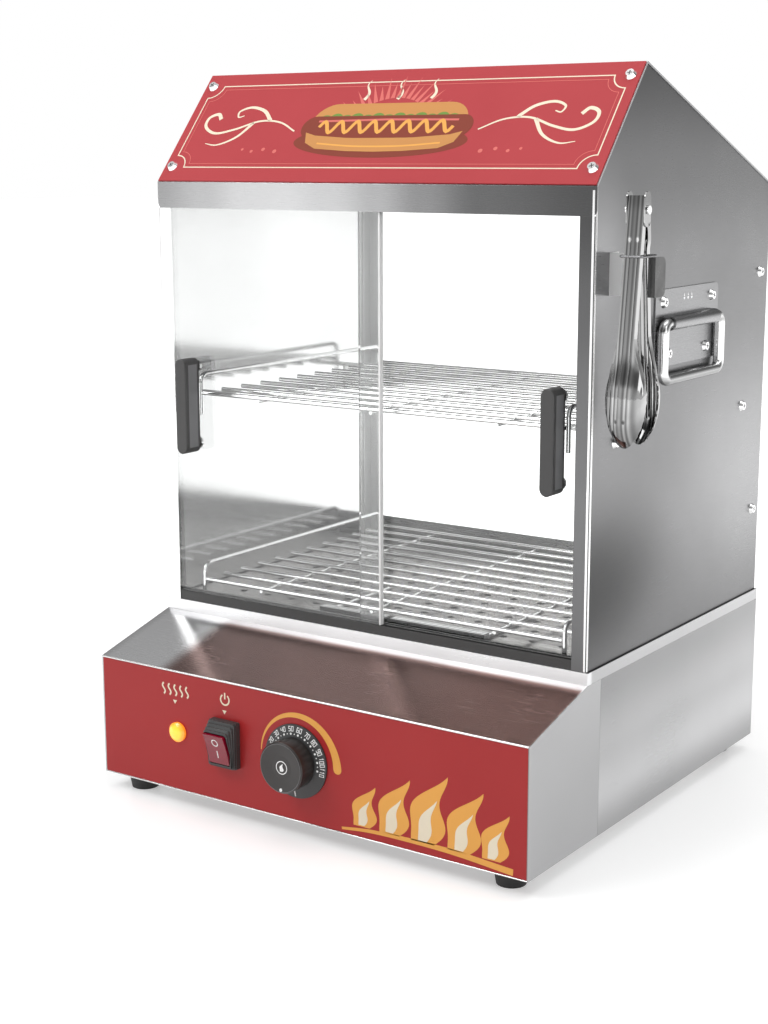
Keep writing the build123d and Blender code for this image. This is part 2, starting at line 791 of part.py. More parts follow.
def door_pane(pane_y, outer_x, inner_x, screw_x):
    """Glass pane with two holes for its handle's screws."""
    with BuildPart() as piece:
        with BuildSketch(facing_front(pane_y + glass_thickness)):
            with Locations(((outer_x + inner_x) / 2, pane_centre_z)):
                Rectangle(abs(outer_x - inner_x), pane_height)
            with Locations(*[(screw_x, z) for z in door_screw_heights]):
                Circle(door_screw_radius + fit, mode=Mode.SUBTRACT)
        extrude(amount=glass_thickness)
    return piece.part


def door_handle(pane_y, centre_x):
    """Solid bar handle with rounded ends, standing on the pane's front face."""
    with BuildPart() as piece:
        with BuildSketch(facing_front(pane_y)):
            with Locations((centre_x, door_handle_z)):
                SlotOverall(door_handle_length, door_handle_width, rotation=90)
        extrude(amount=door_handle_reach)
        front_edges = faces().sort_by(Axis.Y)[0].edges()
        chamfer(front_edges, length=door_handle_chamfer)
        with BuildSketch(facing_front(pane_y)):
            with Locations(*[(centre_x, z) for z in door_screw_heights]):
                Circle(door_screw_radius + fit)
        extrude(amount=door_screw_grip + door_screw_room, mode=Mode.SUBTRACT)
    return piece.part


def door_screws(pane_y, centre_x):
    """Two screws through the pane into the handle, heads on the inside."""
    places = [(centre_x, z) for z in door_screw_heights]
    head_y = pane_y + glass_thickness + door_screw_head_height
    with BuildPart() as piece:
        with BuildSketch(facing_front(head_y)):
            with Locations(*places):
                Circle(door_screw_head_radius)
        extrude(amount=door_screw_head_height)
        with BuildSketch(facing_front(head_y)):
            with Locations(*places):
                Circle(door_screw_radius)
        extrude(amount=door_screw_head_height + glass_thickness + door_screw_grip)
    return piece.part


with BuildPart() as left_door_glass:
    add(door_pane(left_pane_y, -outer_edge, left_pane_edge, -handle_x))
finish(left_door_glass, "left_door_glass")

with BuildPart() as right_door_glass:
    add(door_pane(right_pane_y, outer_edge, right_pane_edge, handle_x))
finish(right_door_glass, "right_door_glass")

with BuildPart() as left_door_handle:
    add(door_handle(left_pane_y, -handle_x))
finish(left_door_handle, "left_door_handle")

with BuildPart() as right_door_handle:
    add(door_handle(right_pane_y, handle_x))
finish(right_door_handle, "right_door_handle")

with BuildPart() as left_door_screws:
    add(door_screws(left_pane_y, -handle_x))
finish(left_door_screws, "left_door_screws")

with BuildPart() as right_door_screws:
    add(door_screws(right_pane_y, handle_x))
finish(right_door_screws, "right_door_screws")

seal_width = 1.4

with BuildPart() as left_door_seal:
    seal_bottom = collar_top_z + track_height + running
    seal_top = header_z - running
    with BuildSketch(facing_front(left_pane_y + glass_thickness)):
        with Locations((left_pane_edge + seal_width / 2, (seal_bottom + seal_top) / 2)):
            Rectangle(seal_width, seal_top - seal_bottom)
    extrude(amount=glass_thickness)
finish(left_door_seal, "left_door_seal")

# ================================================================ racks
cross_wire_radius = 1.5
weld_sink = 0.5             # how far crossing wires melt into each other
rack_front_gap = 2.9        # behind the bottom track
rack_rear_gap = 21.5        # in front of the rear frame
rack_side_gap = 25.1        # inside the side panel
rack_front_y = track_back_y + rack_front_gap
rack_back_y = rear_frame_y - rack_rear_gap
rack_end_x = cabinet_inside - rack_side_gap
end_bend = 7.0
shelf_end_top = 320.0
shelf_end_bottom = 287.0
rack_height = 147.0
rack_end_top = 160.0
plate_top_height = 133.0
shelf_wire_count = 11
rack_wire_count = 12
cross_wire_inset = 60.0     # from the rack's end
cross_wire_x = rack_end_x - cross_wire_inset
plate_top_z = base_z + plate_top_height


def rack_grid(wire_z, wire_count):
    """Level grid: wires across the cabinet, welded on to three bars that run front to back."""
    length = 2 * (rack_end_x - wire_radius)
    pitch = (rack_back_y - rack_front_y) / (wire_count - 1)
    centre_y = (rack_front_y + rack_back_y) / 2
    cross_z = wire_z - wire_radius - cross_wire_radius + weld_sink
    with BuildPart() as piece:
        with BuildSketch(Plane.YZ):
            with Locations((centre_y, wire_z)):
                with GridLocations(pitch, pitch, wire_count, 1):
                    Circle(wire_radius)
        extrude(amount=length / 2, both=True)
        with BuildSketch(facing_front(centre_y)):
            with Locations((-cross_wire_x, cross_z), (0, cross_z), (cross_wire_x, cross_z)):
                Circle(cross_wire_radius)
        extrude(amount=(rack_back_y - rack_front_y) / 2, both=True)
    return piece.part


def rack_ends(bottom_z, top_z):
    """A hoop of wire at each end of a grid: two legs and the rail that joins them."""
    with BuildPart() as piece:
        for side in (-1, 1):
            with BuildLine() as hoop:
                FilletPolyline(
                    (side * rack_end_x, rack_front_y, bottom_z),
                    (side * rack_end_x, rack_front_y, top_z),
                    (side * rack_end_x, rack_back_y, top_z),
                    (side * rack_end_x, rack_back_y, bottom_z),
                    radius=end_bend,
                )
            with BuildSketch(Plane(origin=hoop.line @ 0, z_dir=hoop.line % 0)):
                Circle(wire_radius)
            sweep(path=hoop.line)
    return piece.part


with BuildPart() as bun_shelf:
    add(rack_grid(base_z + shelf_height, shelf_wire_count))
finish(bun_shelf, "bun_shelf")

with BuildPart() as bun_shelf_ends:
    add(rack_ends(base_z + shelf_end_bottom, base_z + shelf_end_top))
finish(bun_shelf_ends, "bun_shelf_ends")

with BuildPart() as hot_dog_rack:
    add(rack_grid(base_z + rack_height, rack_wire_count))
finish(hot_dog_rack, "hot_dog_rack")

with BuildPart() as hot_dog_rack_ends:
    add(rack_ends(plate_top_z + running, base_z + rack_end_top))
finish(hot_dog_rack_ends, "hot_dog_rack_ends")

# angle brackets that the bun shelf's outer wires rest on
bracket_lap = 14.0          # under the shelf, past its end wires
bracket_reach = rack_side_gap + bracket_lap

with BuildPart() as shelf_brackets:
    for side in (-1, 1):
        wall_x = side * cabinet_inside
        for place_y in bracket_places:
            with BuildSketch(Plane.XY.offset(bracket_top_z)):
                with Locations((wall_x - side * bracket_reach / 2, place_y)):
                    Rectangle(bracket_reach, bracket_width)
            extrude(amount=-sheet)
            with BuildSketch(Plane.XY.offset(bracket_top_z)):
                with Locations((wall_x - side * sheet / 2, place_y)):
                    Rectangle(sheet, bracket_width)
            extrude(amount=-bracket_leg)
    with BuildSketch(Plane.YZ):
        with Locations(*bracket_screw_places):
            Circle(panel_screw_radius + fit)
    extrude(amount=cabinet_half, both=True, mode=Mode.SUBTRACT)
finish(shelf_brackets, "shelf_brackets")

# perforated plate over the water pan
perforated_margin = 2.5     # to the side panels
perforated_front_gap = 0.5  # behind the bottom track
perforated_rear_gap = 1.5   # in front of the rear frame
perforated_front_y = track_back_y + perforated_front_gap
perforated_back_y = rear_frame_y - rear_frame_return - perforated_rear_gap
hole_size = 7.0
hole_pitch_x = 25.7
hole_pitch_y = 51.4
hole_margin = 30.0          # plate's edge to the outer holes, at least

with BuildPart() as perforated_plate:
    perforated_width = 2 * (cabinet_inside - perforated_margin)
    perforated_length = perforated_back_y - perforated_front_y
    perforated_centre = (perforated_back_y + perforated_front_y) / 2
    columns = int((perforated_width - 2 * hole_margin) / hole_pitch_x) + 1
    rows = int((perforated_length - 2 * hole_margin) / hole_pitch_y) + 1
    with BuildSketch(Plane.XY.offset(plate_top_z - sheet)):
        with Locations((0, perforated_centre)):
            Rectangle(perforated_width, perforated_length)
            with GridLocations(hole_pitch_x, hole_pitch_y, columns, rows):
                RegularPolygon(hole_size / 2, 6, mode=Mode.SUBTRACT)
            with GridLocations(hole_pitch_x, hole_pitch_y, columns - 1, rows - 1):
                RegularPolygon(hole_size / 2, 6, mode=Mode.SUBTRACT)
    extrude(amount=sheet)
    skirt_bottom = deck_floor_z + running
    with BuildSketch(Plane.XY.offset(skirt_bottom)):
        with Locations((0, perforated_centre)):
            Rectangle(perforated_width, perforated_length)
            Rectangle(perforated_width - 2 * sheet, perforated_length - 2 * sheet, mode=Mode.SUBTRACT)
    extrude(amount=plate_top_z - skirt_bottom)
finish(perforated_plate, "perforated_plate")

grip_left, grip_right = -56.0, 99.0
grip_setback = 10.0         # behind the rack's front wire
grip_depth = 8.0
grip_height = 6.0
grip_groove_width = 1.2
grip_groove_depth = 1.0
grip_arm_inset = 4.0        # from the bar's end
grip_arm_length = 90.0
grip_arm_radius = 1.6

with BuildPart() as plate_handle:
    grip_y = rack_front_y + grip_setback
    grip_length = grip_right - grip_left
    with BuildSketch(Plane.YZ.offset(grip_left)):
        with Locations((grip_y, plate_top_z + grip_height / 2)):
            Rectangle(grip_depth, grip_height)
        with Locations((grip_y, plate_top_z + grip_height)):
            with GridLocations(grip_depth / 2, 1, 2, 1):
                Rectangle(grip_groove_width, 2 * grip_groove_depth, mode=Mode.SUBTRACT)
    extrude(amount=grip_length)
    with BuildSketch(facing_front(grip_y)):
        with Locations(
            (grip_left + grip_arm_inset, plate_top_z + grip_arm_radius),
            (grip_right - grip_arm_inset, plate_top_z + grip_arm_radius),
        ):
            Circle(grip_arm_radius)
    extrude(amount=-grip_arm_length)
finish(plate_handle, "plate_handle")

# ================================================================ controls
lens_radius = 8.0
lens_flange = 2.0
lens_reach = 5.5
lamp_body_length = 20.0
lamp_nut_radius = 9.0
lamp_nut_thickness = 3.0

with BuildPart() as lamp_lens:
    dome_rise = lens_reach - lens_flange
    dome_radius = (lens_radius**2 + dome_rise**2) / (2 * dome_rise)
    dome_half_angle = asin(lens_radius / dome_radius) / 2
    with BuildSketch(Plane(origin=(lamp_x, front_y, lamp_z), x_dir=(0, 0, 1), z_dir=(1, 0, 0))):
        with BuildLine():
            Polyline((0, lens_reach), (0, 0), (lens_radius, 0), (lens_radius, lens_flange))
            ThreePointArc(
                (lens_radius, lens_flange),
                (dome_radius * sin(dome_half_angle), lens_reach - dome_radius * (1 - cos(dome_half_angle))),
                (0, lens_reach),
            )
        make_face()
    revolve(axis=Axis((lamp_x, front_y, lamp_z), (0, 1, 0)))
finish(lamp_lens, "lamp_lens")

with BuildPart() as lamp_body:
    with BuildSketch(facing_front(front_y)):
        with Locations((lamp_x, lamp_z)):
            Circle(lamp_body_radius)
    extrude(amount=-lamp_body_length)
    with BuildSketch(facing_front(fascia_back_y)):
        with Locations((lamp_x, lamp_z)):
            RegularPolygon(lamp_nut_radius, 6)
    extrude(amount=-lamp_nut_thickness)
finish(lamp_body, "lamp_body")

# rocker switch: bezel and body with an inner collar, rubber boot over it, rocker on a trunnion
bezel_width = 27.0
bezel_height = 37.5
bezel_reach = 4.6
bezel_corner = 1.5
switch_body_depth = 26.0
switch_well = 6.0           # open body behind the fascia, for the rocker's lower part
rocker_width = 19.6
rocker_height = 26.0
rocker_face = 13.5          # middle of the face in front of the fascia
rocker_pivot = 6.5          # trunnion's axis in front of the fascia
rocker_tilt = 18.0          # at rest the lower end is pressed in
rocker_depth = 6.0          # rocker behind the trunnion
trunnion_radius = 1.5
trunnion_length = 0.9       # beyond each side of the rocker
rocker_shoulder = 1.5       # each end's lean inwards, from the face to the trunnion
rocker_foot = 9.3           # width of the rocker's back
rocker_dish = 0.9
collar_wall = 1.1
collar_land = 0.9           # collar in front of the trunnion's hole
collar_reach = rocker_pivot + trunnion_radius + collar_land
boot_wall = 0.9
boot_corner = 1.2
boot_lip = 0.7
boot_step_reach = 7.4
opening_width = rocker_width + 2 * running
opening_rise = 2 * (hypot(rocker_face - rocker_pivot, rocker_height / 2) + 2 * running)
collar_width = opening_width + 2 * collar_wall
collar_rise = opening_rise + 2 * collar_wall
pivot_y = front_y - rocker_pivot


def switch_rectangle(width, height):
    """Rectangle centred on the switch."""
    with Locations((switch_x, switch_z)):
        Rectangle(width, height)


with BuildPart() as switch_housing:
    with BuildSketch(facing_front(front_y)):
        switch_rectangle(bezel_width, bezel_height)
    extrude(amount=bezel_reach)
    fillet(switch_housing.edges().filter_by(Axis.Y), radius=bezel_corner)
    with BuildSketch(facing_front(front_y)):
        switch_rectangle(collar_width, collar_rise)
    extrude(amount=collar_reach)
    with BuildSketch(facing_front(front_y)):
        switch_rectangle(switch_body_width, switch_body_height)
    extrude(amount=-switch_body_depth)
    with BuildSketch(facing_front(front_y - collar_reach)):
        switch_rectangle(opening_width, opening_rise)
    extrude(amount=-(collar_reach + switch_well), mode=Mode.SUBTRACT)
    with BuildSketch(Plane.YZ.offset(switch_x)):
        with Locations((pivot_y, switch_z)):
            Circle(trunnion_radius + bore_clearance)
    extrude(amount=collar_width / 2, both=True, mode=Mode.SUBTRACT)
finish(switch_housing, "switch_housing")

with BuildPart() as switch_boot:
    boot_width = collar_width + 2 * fit + 2 * boot_wall
    boot_rise = collar_rise + 2 * fit + 2 * boot_wall
    with BuildSketch(facing_front(front_y - bezel_reach)):
        switch_rectangle(boot_width + 2 * boot_wall, boot_rise + 2 * boot_wall)
    extrude(amount=boot_step_reach - bezel_reach)
    with BuildSketch(facing_front(front_y - bezel_reach)):
        switch_rectangle(boot_width, boot_rise)
    extrude(amount=collar_reach + fit + boot_lip - bezel_reach)
    fillet(switch_boot.edges().filter_by(Axis.Y), radius=boot_corner)
    with BuildSketch(facing_front(front_y - bezel_reach)):
        switch_rectangle(collar_width + 2 * fit, collar_rise + 2 * fit)
    extrude(amount=collar_reach + fit - bezel_reach, mode=Mode.SUBTRACT)
    with BuildSketch(facing_front(front_y - bezel_reach)):
        switch_rectangle(opening_width, opening_rise)
    extrude(amount=2 * collar_reach, mode=Mode.SUBTRACT)
finish(switch_boot, "switch_boot")

with BuildPart() as switch_rocker:
    tilt = radians(rocker_tilt)
    pivot_plane = Plane(
        origin=(switch_x, pivot_y, switch_z), x_dir=(0, -cos(tilt), -sin(tilt)), z_dir=(-1, 0, 0)
    )
    face_reach = rocker_face - rocker_pivot
    with BuildSketch(pivot_plane):
        with BuildLine():
            Polyline(
                (face_reach, rocker_height / 2),
                (0, rocker_height / 2 - rocker_shoulder),
                (-rocker_depth, rocker_foot / 2),
                (-rocker_depth, -rocker_foot / 2),
                (0, rocker_shoulder - rocker_height / 2),
                (face_reach, -rocker_height / 2),
            )
            ThreePointArc(
                (face_reach, -rocker_height / 2),
                (face_reach - rocker_dish, 0),
                (face_reach, rocker_height / 2),
            )
        make_face()
    extrude(amount=rocker_width / 2, both=True)
    with BuildSketch(Plane.YZ.offset(switch_x)):
        with Locations((pivot_y, switch_z)):
            Circle(trunnion_radius)
    extrude(amount=rocker_width / 2 + trunnion_length, both=True)
finish(switch_rocker, "switch_rocker")

# thermostat dial, knob and shaft
dial_radius = 29.0
dial_rim = 1.4
dial_face = 3.4
knob_radius = 20.0
knob_base_radius = 19.0
knob_reach = 20.0           # knob's face in front of the fascia
knob_dish = 1.6
knob_bevel = 1.2
knob_rim = 1.0
knob_flat_radius = 9.0      # level middle of the dished face
knob_skin = 3.0             # face over the shaft's socket
knob_recess = 6.0           # radius of the hollow round the thermostat's bush
dial_shoulder = 1.0         # raised middle of the skirt beyond the knob


def dial_section(*points):
    """Half section about the dial's axis: each point is (radius, distance in front of the fascia)."""
    section = Plane(origin=(dial_x, front_y, dial_z), x_dir=(1, 0, 0), z_dir=(0, 0, 1))
    with BuildPart() as piece:
        with BuildSketch(section):
            with BuildLine():
                Polyline(*[(radius, -reach) for radius, reach in points], close=True)
            make_face()
        revolve(axis=Axis((dial_x, front_y, dial_z), (0, 1, 0)))
    return piece.part


with BuildPart() as dial_plate:
    skirt = dial_section(
        (bush_radius + fit, 0),
        (dial_radius, 0),
        (dial_radius, dial_rim),
        (knob_base_radius + dial_shoulder, dial_face),
        (bush_radius + fit, dial_face),
    )
    add(skirt)
finish(dial_plate, "dial_plate")

with BuildPart() as knob:
    knob_back = dial_face + running
    bush_tip = bush_length - fascia_thickness + running
    socket_end = knob_reach - knob_dish - knob_skin
    grip = dial_section(
        (knob_recess, knob_back),
        (knob_base_radius, knob_back),
        (knob_radius, knob_reach - knob_bevel),
        (knob_radius - knob_rim, knob_reach),
        (knob_flat_radius, knob_reach - knob_dish),
        (0, knob_reach - knob_dish),
        (0, socket_end),
        (shaft_radius + fit, socket_end),
        (shaft_radius + fit, bush_tip),
        (knob_recess, bush_tip),
    )
    add(grip)
finish(knob, "knob")

with BuildPart() as knob_shaft:
    with BuildSketch(facing_front(fascia_back_y + thermostat_length / 2 - running)):
        with Locations((dial_x, dial_z)):
            Circle(shaft_radius)
    extrude(amount=socket_end - fit + fascia_thickness + thermostat_length / 2 - running)
finish(knob_shaft, "knob_shaft")

# ================================================================ side handles
handle_sheet = 1.0
bail_radius = 4.2
bail_width = 99.6           # between the legs' axes
bail_drop = 42.0            # top bar to bottom bar
bail_pivot_height = 374.0
bail_bend = 7.0
barrel_wall = 1.2
barrel_radius = bail_radius + bore_clearance + barrel_wall
barrel_gap = 3.0            # barrel's end to the bail's bend
barrel_length = bail_width - 2 * (bail_bend + barrel_gap)
bail_pivot_z = base_z + bail_pivot_height
bail_pivot_x = cabinet_half + handle_sheet + bail_radius + running

with BuildPart() as right_handle_plate:
    with BuildSketch(Plane.YZ.offset(cabinet_half)):
        with Locations((handle_y, handle_z)):
            RectangleRounded(handle_plate_length, handle_plate_height, handle_plate_corner)
        with Locations(*handle_screw_places):
            Circle(panel_screw_radius + fit, mode=Mode.SUBTRACT)
    extrude(amount=handle_sheet)
    with BuildSketch(facing_front(handle_y)):
        with Locations((bail_pivot_x, bail_pivot_z)):
            Circle(barrel_radius)
        with Locations(((bail_pivot_x + cabinet_half) / 2, bail_pivot_z)):
            Rectangle(bail_pivot_x - cabinet_half, 2 * barrel_radius)
    extrude(amount=barrel_length / 2, both=True)
    with BuildSketch(facing_front(handle_y)):
        with Locations((bail_pivot_x, bail_pivot_z)):
            Circle(bail_radius + bore_clearance)
    extrude(amount=barrel_length, both=True, mode=Mode.SUBTRACT)
finish(right_handle_plate, "right_handle_plate")

with BuildPart() as left_handle_plate:
    mirror(right_handle_plate.part, about=Plane.YZ)
finish(left_handle_plate, "left_handle_plate")

with BuildPart() as right_handle_bail:
    low_z = bail_pivot_z - bail_drop
    with BuildLine() as bail_path:
        FilletPolyline(
            (bail_pivot_x, handle_y - bail_width / 2, bail_pivot_z),
            (bail_pivot_x, handle_y - bail_width / 2, low_z),
            (bail_pivot_x, handle_y + bail_width / 2, low_z),
            (bail_pivot_x, handle_y + bail_width / 2, bail_pivot_z),
            radius=bail_bend,
            close=True,
        )
    bail_start = bail_path.line @ 0
    with BuildSketch(Plane(origin=bail_start, z_dir=bail_path.line % 0)):
        Circle(bail_radius)
    sweep()
finish(right_handle_bail, "right_handle_bail")

with BuildPart() as left_handle_bail:
    mirror(right_handle_bail.part, about=Plane.YZ)
finish(left_handle_bail, "left_handle_bail")

with BuildPart() as side_screws:
    add(dome_screws(Plane.YZ.offset(cabinet_half), bracket_screw_places, 2 * sheet))
    add(dome_screws(Plane.YZ.offset(cabinet_half), frame_screw_places, sheet))
    add(dome_screws(Plane.YZ.offset(cabinet_half + handle_sheet), handle_screw_places, sheet + handle_sheet))
    mirror(side_screws.part, about=Plane.YZ)
finish(side_screws, "side_screws")

# ================================================================ tongs and their holder
holder_depth = 104.1        # plate's front face behind the fascia
holder_reach = 35.2
holder_height = 30.0
holder_top_height = 430.0   # above the base's lower edge
holder_root = 12.0
holder_return = 16.0
holder_corner = 5.0
notch_depth = 2.4
notch_length = 22.2         # inwards from the tip
holder_front_y = front_y + holder_depth
holder_tip_x = cabinet_half + holder_reach
holder_top_z = base_z + holder_top_height
holder_bottom_z = holder_top_z - holder_height
notch_z = holder_top_z - notch_depth

with BuildPart() as tongs_holder:
    with BuildSketch(facing_front(holder_front_y + sheet)):
        with BuildLine():
            Polyline(
                (cabinet_half, holder_bottom_z),
                (holder_tip_x, holder_bottom_z),
                (holder_tip_x, notch_z),
                (holder_tip_x - notch_length, notch_z),
                (holder_tip_x - notch_length, holder_top_z),
                (cabinet_half, holder_top_z),
                close=True,
            )
        make_face()
    extrude(amount=sheet)
    with BuildSketch(Plane.YZ.offset(cabinet_half)):
        with Locations((holder_front_y + holder_root / 2, (holder_bottom_z + holder_top_z) / 2)):
            Rectangle(holder_root, holder_height)
    extrude(amount=sheet)
    with BuildSketch(Plane.YZ.offset(holder_tip_x)):
        with Locations((holder_front_y + holder_return / 2, (holder_bottom_z + notch_z) / 2)):
            Rectangle(holder_return, notch_z - holder_bottom_z)
    extrude(amount=-sheet)
    rear_corners = tongs_holder.edges().filter_by(Axis.X).group_by(Axis.Y)[-1]
    fillet(rear_corners, radius=holder_corner)
finish(tongs_holder, "tongs_holder")

tongs_tip_inset = 9.0       # hinge pin's middle inside the holder's tip
tongs_x = holder_tip_x - tongs_tip_inset
tongs_lead = 10.1           # hinge pin in front of the holder's plate
tongs_pin_rise = 30.0       # above the holder
tongs_length = 163.0        # pin to tips
front_lean = 6.5            # degrees that each arm leans out
rear_lean = 5.45
tongs_sheet = 0.9
web_reach = 4.0             # arm's outer face from the pin's axis
arm_half_width = 6.2
ear_gap = 0.2               # between the two arms' ears
hinge_half_width = arm_half_width + ear_gap + tongs_sheet   # the rear arm's ears are the outer ones
arm_neck = 20.0             # the rear arm narrows from here, below the pin
arm_shoulder = 28.0         # down to here
arm_flange = 4.6
arm_top = 9.3               # above the pin
web_start = 9.0             # the rear arm's web begins this far below the pin
ear_radius = 4.6
ear_drop = 6.0              # below the pin
rear_ear_rise = 12.4        # above the pin
groove_start = 13.0         # below the pin
groove_offset = 2.6         # from the arm's middle
groove_width = 1.5
groove_depth = 0.4
pin_radius = 1.8
pin_head_radius = 3.0
pin_head = 1.2
head_length = 56.0
head_overlap = 12.0         # the arm's channel runs this far into the head
head_depth = 9.0
head_half_width = 15.5
closing_angle = 7.0
head_turn = 3.0             # degrees that the rim turns in towards the tip
head_rim_reach = -3.0       # rim from the pin's plane, where the head begins
head_crown = 22.0           # deepest place, from where the head begins
scallop_radius = 1.5
scallop_places = (5.0, 14.0, 23.0, 32.0, 41.0, 49.0)
head_axis_depth = (head_half_width**2 - head_depth**2) / (2 * head_depth)
crown_radius = head_axis_depth + head_depth
tip_run = head_length - head_crown
crown_bend = (tip_run**2 + head_depth**2) / (2 * head_depth)
ring_wire_radius = 0.9
ring_side_gap = 0.25        # ring to the rear arm's ears
ring_bend = 1.6
press_clearance = 0.02      # radial, where the front arm holds the pin
tongs_y = holder_front_y - tongs_lead
tongs_pin_z = holder_top_z + tongs_pin_rise


def head_radius(along):
    """Outer radius of the dished head about its inner axis, at a place along the head."""
    return crown_radius - crown_bend + sqrt(crown_bend**2 - (along - head_crown) ** 2)


def head_spindle(plane, skin, start, end):
    """Solid of revolution about an axis inside the rim, skin thinner than the head."""
    section = Plane(
        origin=plane.origin - plane.z_dir * head_axis_depth, x_dir=-plane.y_dir, z_dir=plane.x_dir
    )
    side = 1 if section.y_dir.dot(plane.z_dir) > 0 else -1
    middle = (start + end) / 2
    with BuildPart() as spindle:
        with BuildSketch(section):
            with BuildLine():
                ThreePointArc(
                    (start, side * (head_radius(start) - skin)),
                    (middle, side * (head_radius(middle) - skin)),
                    (end, side * (head_radius(end) - skin)),
                )
                Polyline(
                    (end, side * (head_radius(end) - skin)),
                    (end, 0),
                    (start, 0),
                    (start, side * (head_radius(start) - skin)),
                )
            make_face()
        revolve(axis=Axis(section.origin, section.x_dir))
    return spindle.part


def tongs_head(plane):
    """Dished head: a thin spindle shell cut off at its rim, with a scalloped edge."""
    with BuildPart() as head:
        add(head_spindle(plane, 0, 0, head_length))
        add(head_spindle(plane, tongs_sheet, -1, head_length - tongs_sheet), mode=Mode.SUBTRACT)
        with BuildSketch(plane):
            with Locations((0, -head_length / 2)):
                Rectangle(3 * crown_radius, 2 * head_length)
        extrude(amount=-2 * crown_radius, mode=Mode.SUBTRACT)
        edge = [
            (side * sqrt(head_radius(along) ** 2 - head_axis_depth**2), -along)
            for along in scallop_places
            for side in (-1, 1)
        ]
        with BuildSketch(plane.offset(-1)):
            with Locations(*edge):
                Circle(scallop_radius)
        extrude(amount=head_depth, mode=Mode.SUBTRACT)
    return head.part


def arm_outline(top_half_width, skin, top, bottom):
    """Corners of an arm seen square on, skin narrower on each side."""
    half = [
        (top_half_width - skin, top),
        (top_half_width - skin, -arm_neck),
        (arm_half_width - skin, -arm_shoulder),
        (arm_half_width - skin, bottom),
    ]
    return half + [(-x, y) for x, y in reversed(half)]


def tongs_arm(side, lean, top_half_width, hole_radius, ear_rise):
    """Grooved channel arm with hinge ears at the top; side is -1 for the front arm, 1 for the rear one."""
    turn = radians(lean)
    plane = Plane(
        origin=(tongs_x, tongs_y, tongs_pin_z),
        x_dir=(-side, 0, 0),
        z_dir=(0, side * cos(turn), sin(turn)),
    )
    bottom = head_length - tongs_length - head_overlap
    with BuildPart() as piece:
        with BuildSketch(plane.offset(web_reach - arm_flange)):
            with BuildLine():
                Polyline(*arm_outline(top_half_width, 0, arm_top, bottom), close=True)
            make_face()
        extrude(amount=arm_flange)
        with BuildSketch(plane.offset(web_reach - arm_flange)):
            with BuildLine():
                Polyline(*arm_outline(top_half_width, tongs_sheet, arm_top + 1, bottom - 1), close=True)
            make_face()
        extrude(amount=arm_flange - tongs_sheet, mode=Mode.SUBTRACT)
        if side == 1:
            with BuildSketch(plane.offset(web_reach - arm_flange)):
                with Locations((0, (arm_top - web_start) / 2)):
                    Rectangle(2 * (top_half_width - tongs_sheet), arm_top + web_start)
            extrude(amount=arm_flange, mode=Mode.SUBTRACT)
        groove_end = head_length - tongs_length
        with BuildSketch(plane.offset(web_reach)):
            with Locations((0, (groove_end - groove_start) / 2)):
                with GridLocations(2 * groove_offset, 1, 2, 1):
                    Rectangle(groove_width, -groove_start - groove_end)
        extrude(amount=-groove_depth, mode=Mode.SUBTRACT)
        for ear in (-1, 1):
            with BuildSketch(Plane.YZ.offset(tongs_x + ear * (top_half_width - tongs_sheet / 2))):
                with Locations((tongs_y, tongs_pin_z + (ear_rise - ear_drop) / 2)):
                    SlotOverall(ear_rise + ear_drop, 2 * ear_radius, rotation=90)
            extrude(amount=tongs_sheet / 2, both=True)
        with BuildSketch(Plane.YZ.offset(tongs_x)):
            with Locations((tongs_y, tongs_pin_z)):
                Circle(hole_radius)
        extrude(amount=hinge_half_width, both=True, mode=Mode.SUBTRACT)
        head_start = plane.from_local_coords((0, head_length - tongs_length, head_rim_reach))
        add(tongs_head(Plane(head_start, x_dir=plane.x_dir, z_dir=plane.z_dir).rotated((head_turn, 0, 0))))
    return piece.part


with BuildPart() as tongs_front_arm:
    add(tongs_arm(-1, front_lean, arm_half_width, pin_radius + press_clearance, arm_top))
finish(tongs_front_arm, "tongs_front_arm")

with BuildPart() as tongs_rear_arm:
    add(tongs_arm(1, rear_lean, hinge_half_width, pin_radius + bore_clearance, rear_ear_rise))
finish(tongs_rear_arm, "tongs_rear_arm")

with BuildPart() as tongs_pin:
    with BuildSketch(Plane.YZ.offset(tongs_x)):
        with Locations((tongs_y, tongs_pin_z)):
            Circle(pin_radius)
    extrude(amount=hinge_half_width + fit, both=True)
    for end in (-1, 1):
        with BuildSketch(Plane.YZ.offset(tongs_x + end * (hinge_half_width + fit + pin_head / 2))):
            with Locations((tongs_y, tongs_pin_z)):
                Circle(pin_head_radius)
        extrude(amount=pin_head / 2, both=True)
finish(tongs_pin, "tongs_pin")

coil_radius = 2.9
coil_half_length = 3.4
spring_leg = 15.0
spring_wire = 0.8
spring_slack = 0.5          # degrees between a leg and the closed arm

with BuildPart() as tongs_spring:
    with BuildSketch(Plane.YZ.offset(tongs_x)):
        with Locations((tongs_y, tongs_pin_z)):
            Circle(coil_radius)
    extrude(amount=coil_half_length, both=True)
    for end, splay in ((-1, front_lean), (1, closing_angle - rear_lean + spring_slack)):
        with BuildSketch(Plane.YZ.offset(tongs_x + end * (coil_half_length - spring_wire))):
            with Locations((tongs_y, tongs_pin_z)):
                with Locations(Location((0, 0), -splay)):
                    with Locations((end * (coil_radius - spring_wire / 2), -spring_leg / 2)):
                        Rectangle(spring_wire, spring_leg)
        extrude(amount=spring_wire / 2, both=True)
    with BuildSketch(Plane.YZ.offset(tongs_x)):
        with Locations((tongs_y, tongs_pin_z)):
            Circle(pin_radius + 2 * bore_clearance)
    extrude(amount=arm_half_width, both=True, mode=Mode.SUBTRACT)
finish(tongs_spring, "tongs_spring")

